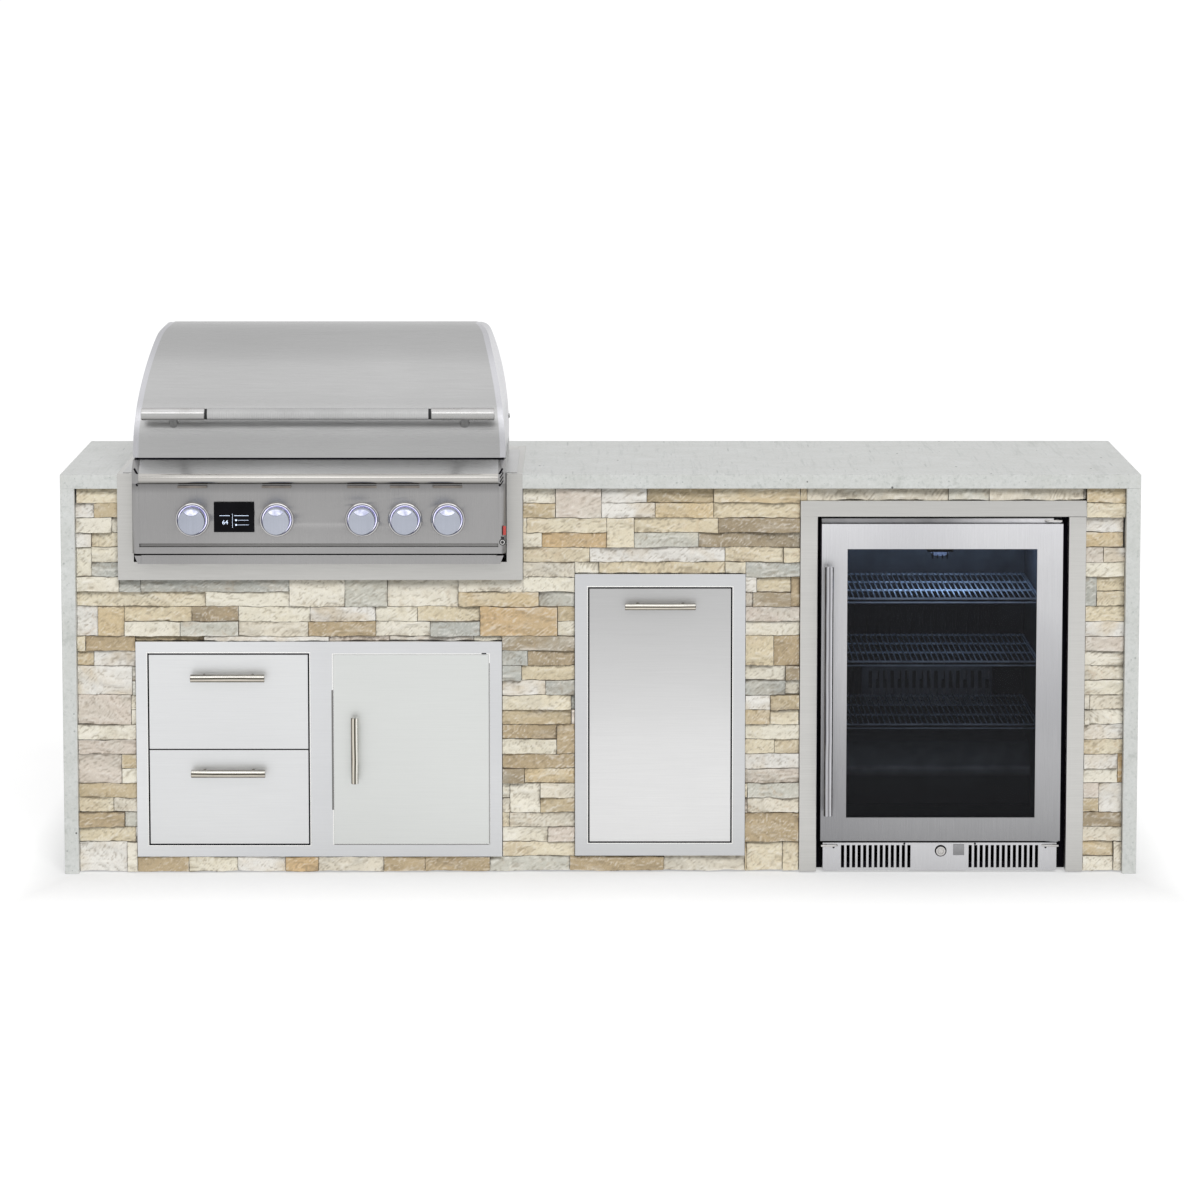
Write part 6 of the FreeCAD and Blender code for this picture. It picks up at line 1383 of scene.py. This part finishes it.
def cabin_light():
    """The cabinet's lamp under its ceiling, and the light that it gives."""
    housing = block("cabin_lamp_housing", (LAMP_X - 0.030, -0.252, 0.7285),
                    (LAMP_X + 0.030, -0.204, 0.7700), 0.003)
    finish_as(housing, "cover", "island")
    lens = turned("cabin_lamp_lens", [(0, 0), (0, 0.021), (0.004, 0.0205), (0.010, 0.014),
                                      (0.012, 0)], 40)
    finish_as(settle(lens, (LAMP_X, -0.228, 0.7290), (math.pi, 0, 0)), "cabin_light", "island")
    bars = [block("bar", (LAMP_X + x - 0.0012, -0.2440, 0.7120),
                  (LAMP_X + x + 0.0012, -0.2120, 0.7290), 0.0004)
            for x in (-0.0165, -0.0055, 0.0055, 0.0165)]
    finish_as(joined("cabin_lamp_guard", bars), "cover", "island")
    lamp = softbox("cabin", (0.775, -0.17, 0.735), (0.775, 0.14, 0.48), (0.20, 0.10), 0.8,
                   (0.60, 0.78, 1.0))
    lamp.visible_glossy = False


def cabinet_inside():
    """The moulded cover over the compressor's step and the louvres low on the rear wall."""
    left, right = 0.5405, 1.0045
    front, top, foot, radius, sheet = 0.030, 0.2410, 0.1003, 0.058, 0.004
    centre = (front + radius, top - radius)
    outline = [(0.2470, top - 0.0008), (0.2470, top)] + arc(centre, radius, 90, 180, 10)
    outline += [(front, foot), (front + sheet, foot)] + arc(centre, radius - sheet, 180, 90, 10)
    cover = prism("step_cover", "x", outline, left, right - left)
    finish_as(smooth(outward(cover), 30), "housing", "island")
    wall = 0.2472
    plate = block("fan_louvres", (0.620, wall - 0.0180, 0.303), (0.930, wall, 0.398), 0.003)
    slots = [block("slot", (0.6365 + step * 0.0173, wall - 0.03, 0.314),
                   (0.6455 + step * 0.0173, wall - 0.006, 0.387)) for step in range(17)]
    carve(plate, joined("slots", slots))
    finish_as(plate, "louvre", "island")


def frame_ring(name, low, high, wall, y, ease=0.0):
    """A flat frame round a rectangle: low and high are its inner corners (x, z)."""
    outer = block(name, (low[0] - wall, y[0], low[1] - wall), (high[0] + wall, y[1], high[1] + wall))
    carve(outer, block("inner", (low[0], y[0] - 0.01, low[1]), (high[0], y[1] + 0.01, high[1])))
    return eased(outer, ease) if ease else outer


def opening(*fronts):
    """The corners (x, z) of the running gap round some fronts."""
    boxes = [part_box(node) for node in fronts]
    low = Vector([min(box[0][axis] for box in boxes) for axis in (0, 2)])
    high = Vector([max(box[1][axis] for box in boxes) for axis in (0, 2)])
    return low - Vector((0.0004, 0.0004)), high + Vector((0.0004, 0.0004))


def door_opening(gap):
    """A bright lip of painted highlight round the storage door, grey strips of painted shade in its
    gaps and a dark block in the gap above its right corner.
    """
    low, high = opening("storage_door")
    low.y, high.y = 0.0676, 0.5024
    lip = frame_ring("lip", low, high, gap, (-0.3132, -0.2985))
    shade_strips = [block("strip", (low.x - gap - 0.0012, -0.3158, 0.146), (low.x - 0.0004, -0.2980, 0.421)),
              block("strip", (high.x + 0.0006, -0.3146, low.y - 0.002),
                    (high.x + 0.0020, -0.2990, high.y - 0.02)),
              block("strip", (low.x, -0.3146, low.y - 0.0022),
                    (high.x - 0.001, -0.2990, low.y - 0.0010))]
    finish_as(joined("door_gap_shade_strips", shade_strips), "groove", "island")
    dark_gap_block = block("shadow_fill", (high.x - 0.016, -0.3156, high.y + 0.001),
                  (high.x - 0.006, -0.2980, high.y + gap + 0.0006))
    return dark_gap_block, lip


def sliding_opening(gap, fronts, rails):
    """A dark ring of painted shade in the gap round a sliding front, with room for its middle rails,
    and a bright lip of painted highlight outside it.
    """
    low, high = opening(*fronts)
    shadow_fill = frame_ring("shadow_fill", low, high, gap, (-0.3156, -0.2985))
    for node in rails:
        start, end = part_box("middle_rails_" + node)
        carve(shadow_fill, block("notch", (start.x - 0.0012, -0.33, start.z - 0.0012),
                          (end.x + 0.0012, -0.28, end.z + 0.0012)))
    out = Vector((gap + 0.0003, gap + 0.0003))
    return shadow_fill, frame_ring("lip", low - out, high + out, 0.0022, (-0.3162, -0.3140), 0.0004)


def gap_shadow_fills():
    """Dark fills of painted shade in the running gaps of the fronts and behind the refrigerator's
    trim.
    """
    gap = 0.003
    drawers = sliding_opening(gap, ("drawer_upper", "drawer_lower"), ("upper", "lower"))
    door = door_opening(gap)
    bins = sliding_opening(gap, ("trash_drawer",), ("trash",))
    shadow_fills, highlight_lips = zip(drawers, door, bins)
    low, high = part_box("drawer_upper")
    between = block("shadow_fill", (low.x, -0.2990, low.z - 0.006), (high.x, -0.2965, low.z + 0.003))
    finish_as(joined("front_gap_shadows", [*shadow_fills, between]), "shade", "island")
    # Painted highlight: bright lips round the openings.
    finish_as(joined("front_opening_highlight_lips", highlight_lips), "lip", "island")
    low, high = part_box("fridge_cabinet")
    shadow_fill = frame_ring("refrigerator_gap_shadow", (low.x + 0.001, 0.02), (high.x - 0.001, 0.8115),
                      0.018, (-0.2757, -0.2709))
    edit(shadow_fill)
    bpy.ops.mesh.bisect(plane_co=(0, 0, 0.0055), plane_no=(0, 0, 1), use_fill=True,
                        clear_inner=True)
    done()
    finish_as(shadow_fill, "shade", "island")


def hinge_plates(low, high):
    """Flat plates with a slanted corner and a pin, over the door on the right and under it."""
    plates = []
    for z, side in ((0.8046, 1), (0.0605, 1), (0.0605, -1)):
        edge = high.x - 0.002 if side > 0 else low.x + 0.002
        outline = [(edge, -0.318), (edge - side * 0.030, -0.318), (edge - side * 0.044, -0.304),
                   (edge - side * 0.044, -0.272), (edge, -0.272)]
        plates.append(eased(prism("plate", "z", outline, z, 0.0045), 0.0008))
        plates.append(bar("pin", "z", (edge - side * 0.010, -0.309, z - 0.001), 0.0065, 0.004,
                          0.0006, 24))
    finish_as(joined("refrigerator_hinge_plates", plates), "polished", "island")


def key_lock():
    low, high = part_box("fridge_lock")
    middle, depth = (low + high) / 2, high.y - low.y
    radius = (high.x - low.x) / 2
    # A dark ring round the lock.
    dark_ring = turned("lock_dark_ring", [(0, radius + 0.0002), (-0.0008, radius + 0.0004),
                                    (-0.0008, radius + 0.0020), (0, radius + 0.0024)], 48)
    settle(dark_ring, (middle.x, -0.3090, middle.z), AXES["y"])
    finish_as(outward(dark_ring), "shade", "island")
    barrel = turned("key_lock", [(0, 0), (0, 0.0040), (0.0012, 0.0044), (0.0012, 0.0062),
                                 (0, 0.0070), (0, radius - 0.001), (0.001, radius),
                                 (0.0055, radius), (0.0062, radius - 0.0012),
                                 (depth, radius - 0.0012), (depth, 0)], 48)
    settle(barrel, (middle.x, low.y, middle.z), AXES["y"])
    carve(barrel, block("slot", (middle.x - 0.0007, low.y - 0.005, middle.z - 0.0032),
                        (middle.x + 0.0007, low.y + 0.003, middle.z + 0.0032)))
    finish_as(smooth(outward(barrel), 30), "polished", "door_lock", "fridge_lock")


def refrigerator_front():
    """The bright strip over the door, the toe plate's small parts and the key lock."""
    low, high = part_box("fridge_door_frame")
    strip = block("refrigerator_top_strip", (low.x, -0.3090, 0.8022),
                  (high.x - 0.02, -0.2710, 0.8122), 0.0012)
    finish_as(strip, "top_strip", "island")
    hinge_plates(low, high)
    tab = block("toe_tab", (0.8035, -0.3118, 0.040), (0.8285, -0.3088, 0.065), 0.001)
    finish_as(tab, "upright", "island")
    heads = [bar("head", "y", (x, -0.3092, z), 0.002, 0.0026, 0.0003, 20)
             for x, z in ((0.531, 0.058), (1.014, 0.058), (0.853, 0.066), (0.692, 0.066))]
    finish_as(joined("toe_screw_heads", heads), "shade", "island")
    key_lock()


def dress_nodes():
    dress("quartz", "countertop", "waterfall_sides", ease=0.0012)
    dress("cement", "backer_boards")
    dress("galvanised", "base_frame", "levelling_feet")
    dress("jacket", "grill_jacket", ease=0.0012, segments=3)
    dress("trim", "fridge_trim", ease=0.0012, segments=3)
    dress("panel", "drip_tray", ease=0.0005)
    dress("bright", "drawer_upper", "drawer_lower", ease=0.0008)
    dress("door_front", "storage_door", ease=0.0008)
    dress("bin_front", "trash_drawer", ease=0.0008)
    dress("frame", "access_frames", ease=0.0018, segments=3)
    dress("steel", "cabinet_sleeves", "firebox")
    dress("upright", "fridge_door_frame", ease=0.0008)
    dress("toe", "toe_grille", ease=0.0006)
    dress("burner", "gas_manifold", "burners", "flame_tamers")
    dress("grate", "cooking_grates", "warming_rack")
    dress("chrome", *[f"valve_stem_{number}" for number in range(1, 6)])
    dress("lamp", "panel_lamps", ease=0.0005)
    dress("red", "light_switch", ease=0.0006)
    dress("zinc", "middle_rails_upper", "middle_rails_lower", "middle_rails_trash",
          "fridge_hinges")
    dress("bin", "trash_bins", ease=0.001)
    dress("liner", "fridge_cabinet")
    dress("housing", "fridge_compressor", ease=0.004, segments=3)
    dress("cover", "fridge_fan_cover")
    dress("glass", "fridge_glass")
    dress("rubber", "fridge_gasket")


def build():
    for step in (camera, studio, floor, dress_nodes, front_stones, rear_stones, hood, hood_handle,
                 control_panel, jacket_covers, tray_front, knobs, display, handles, wire_shelves,
                 cabin_light, cabinet_inside, gap_shadow_fills, refrigerator_front):
        step()


build()
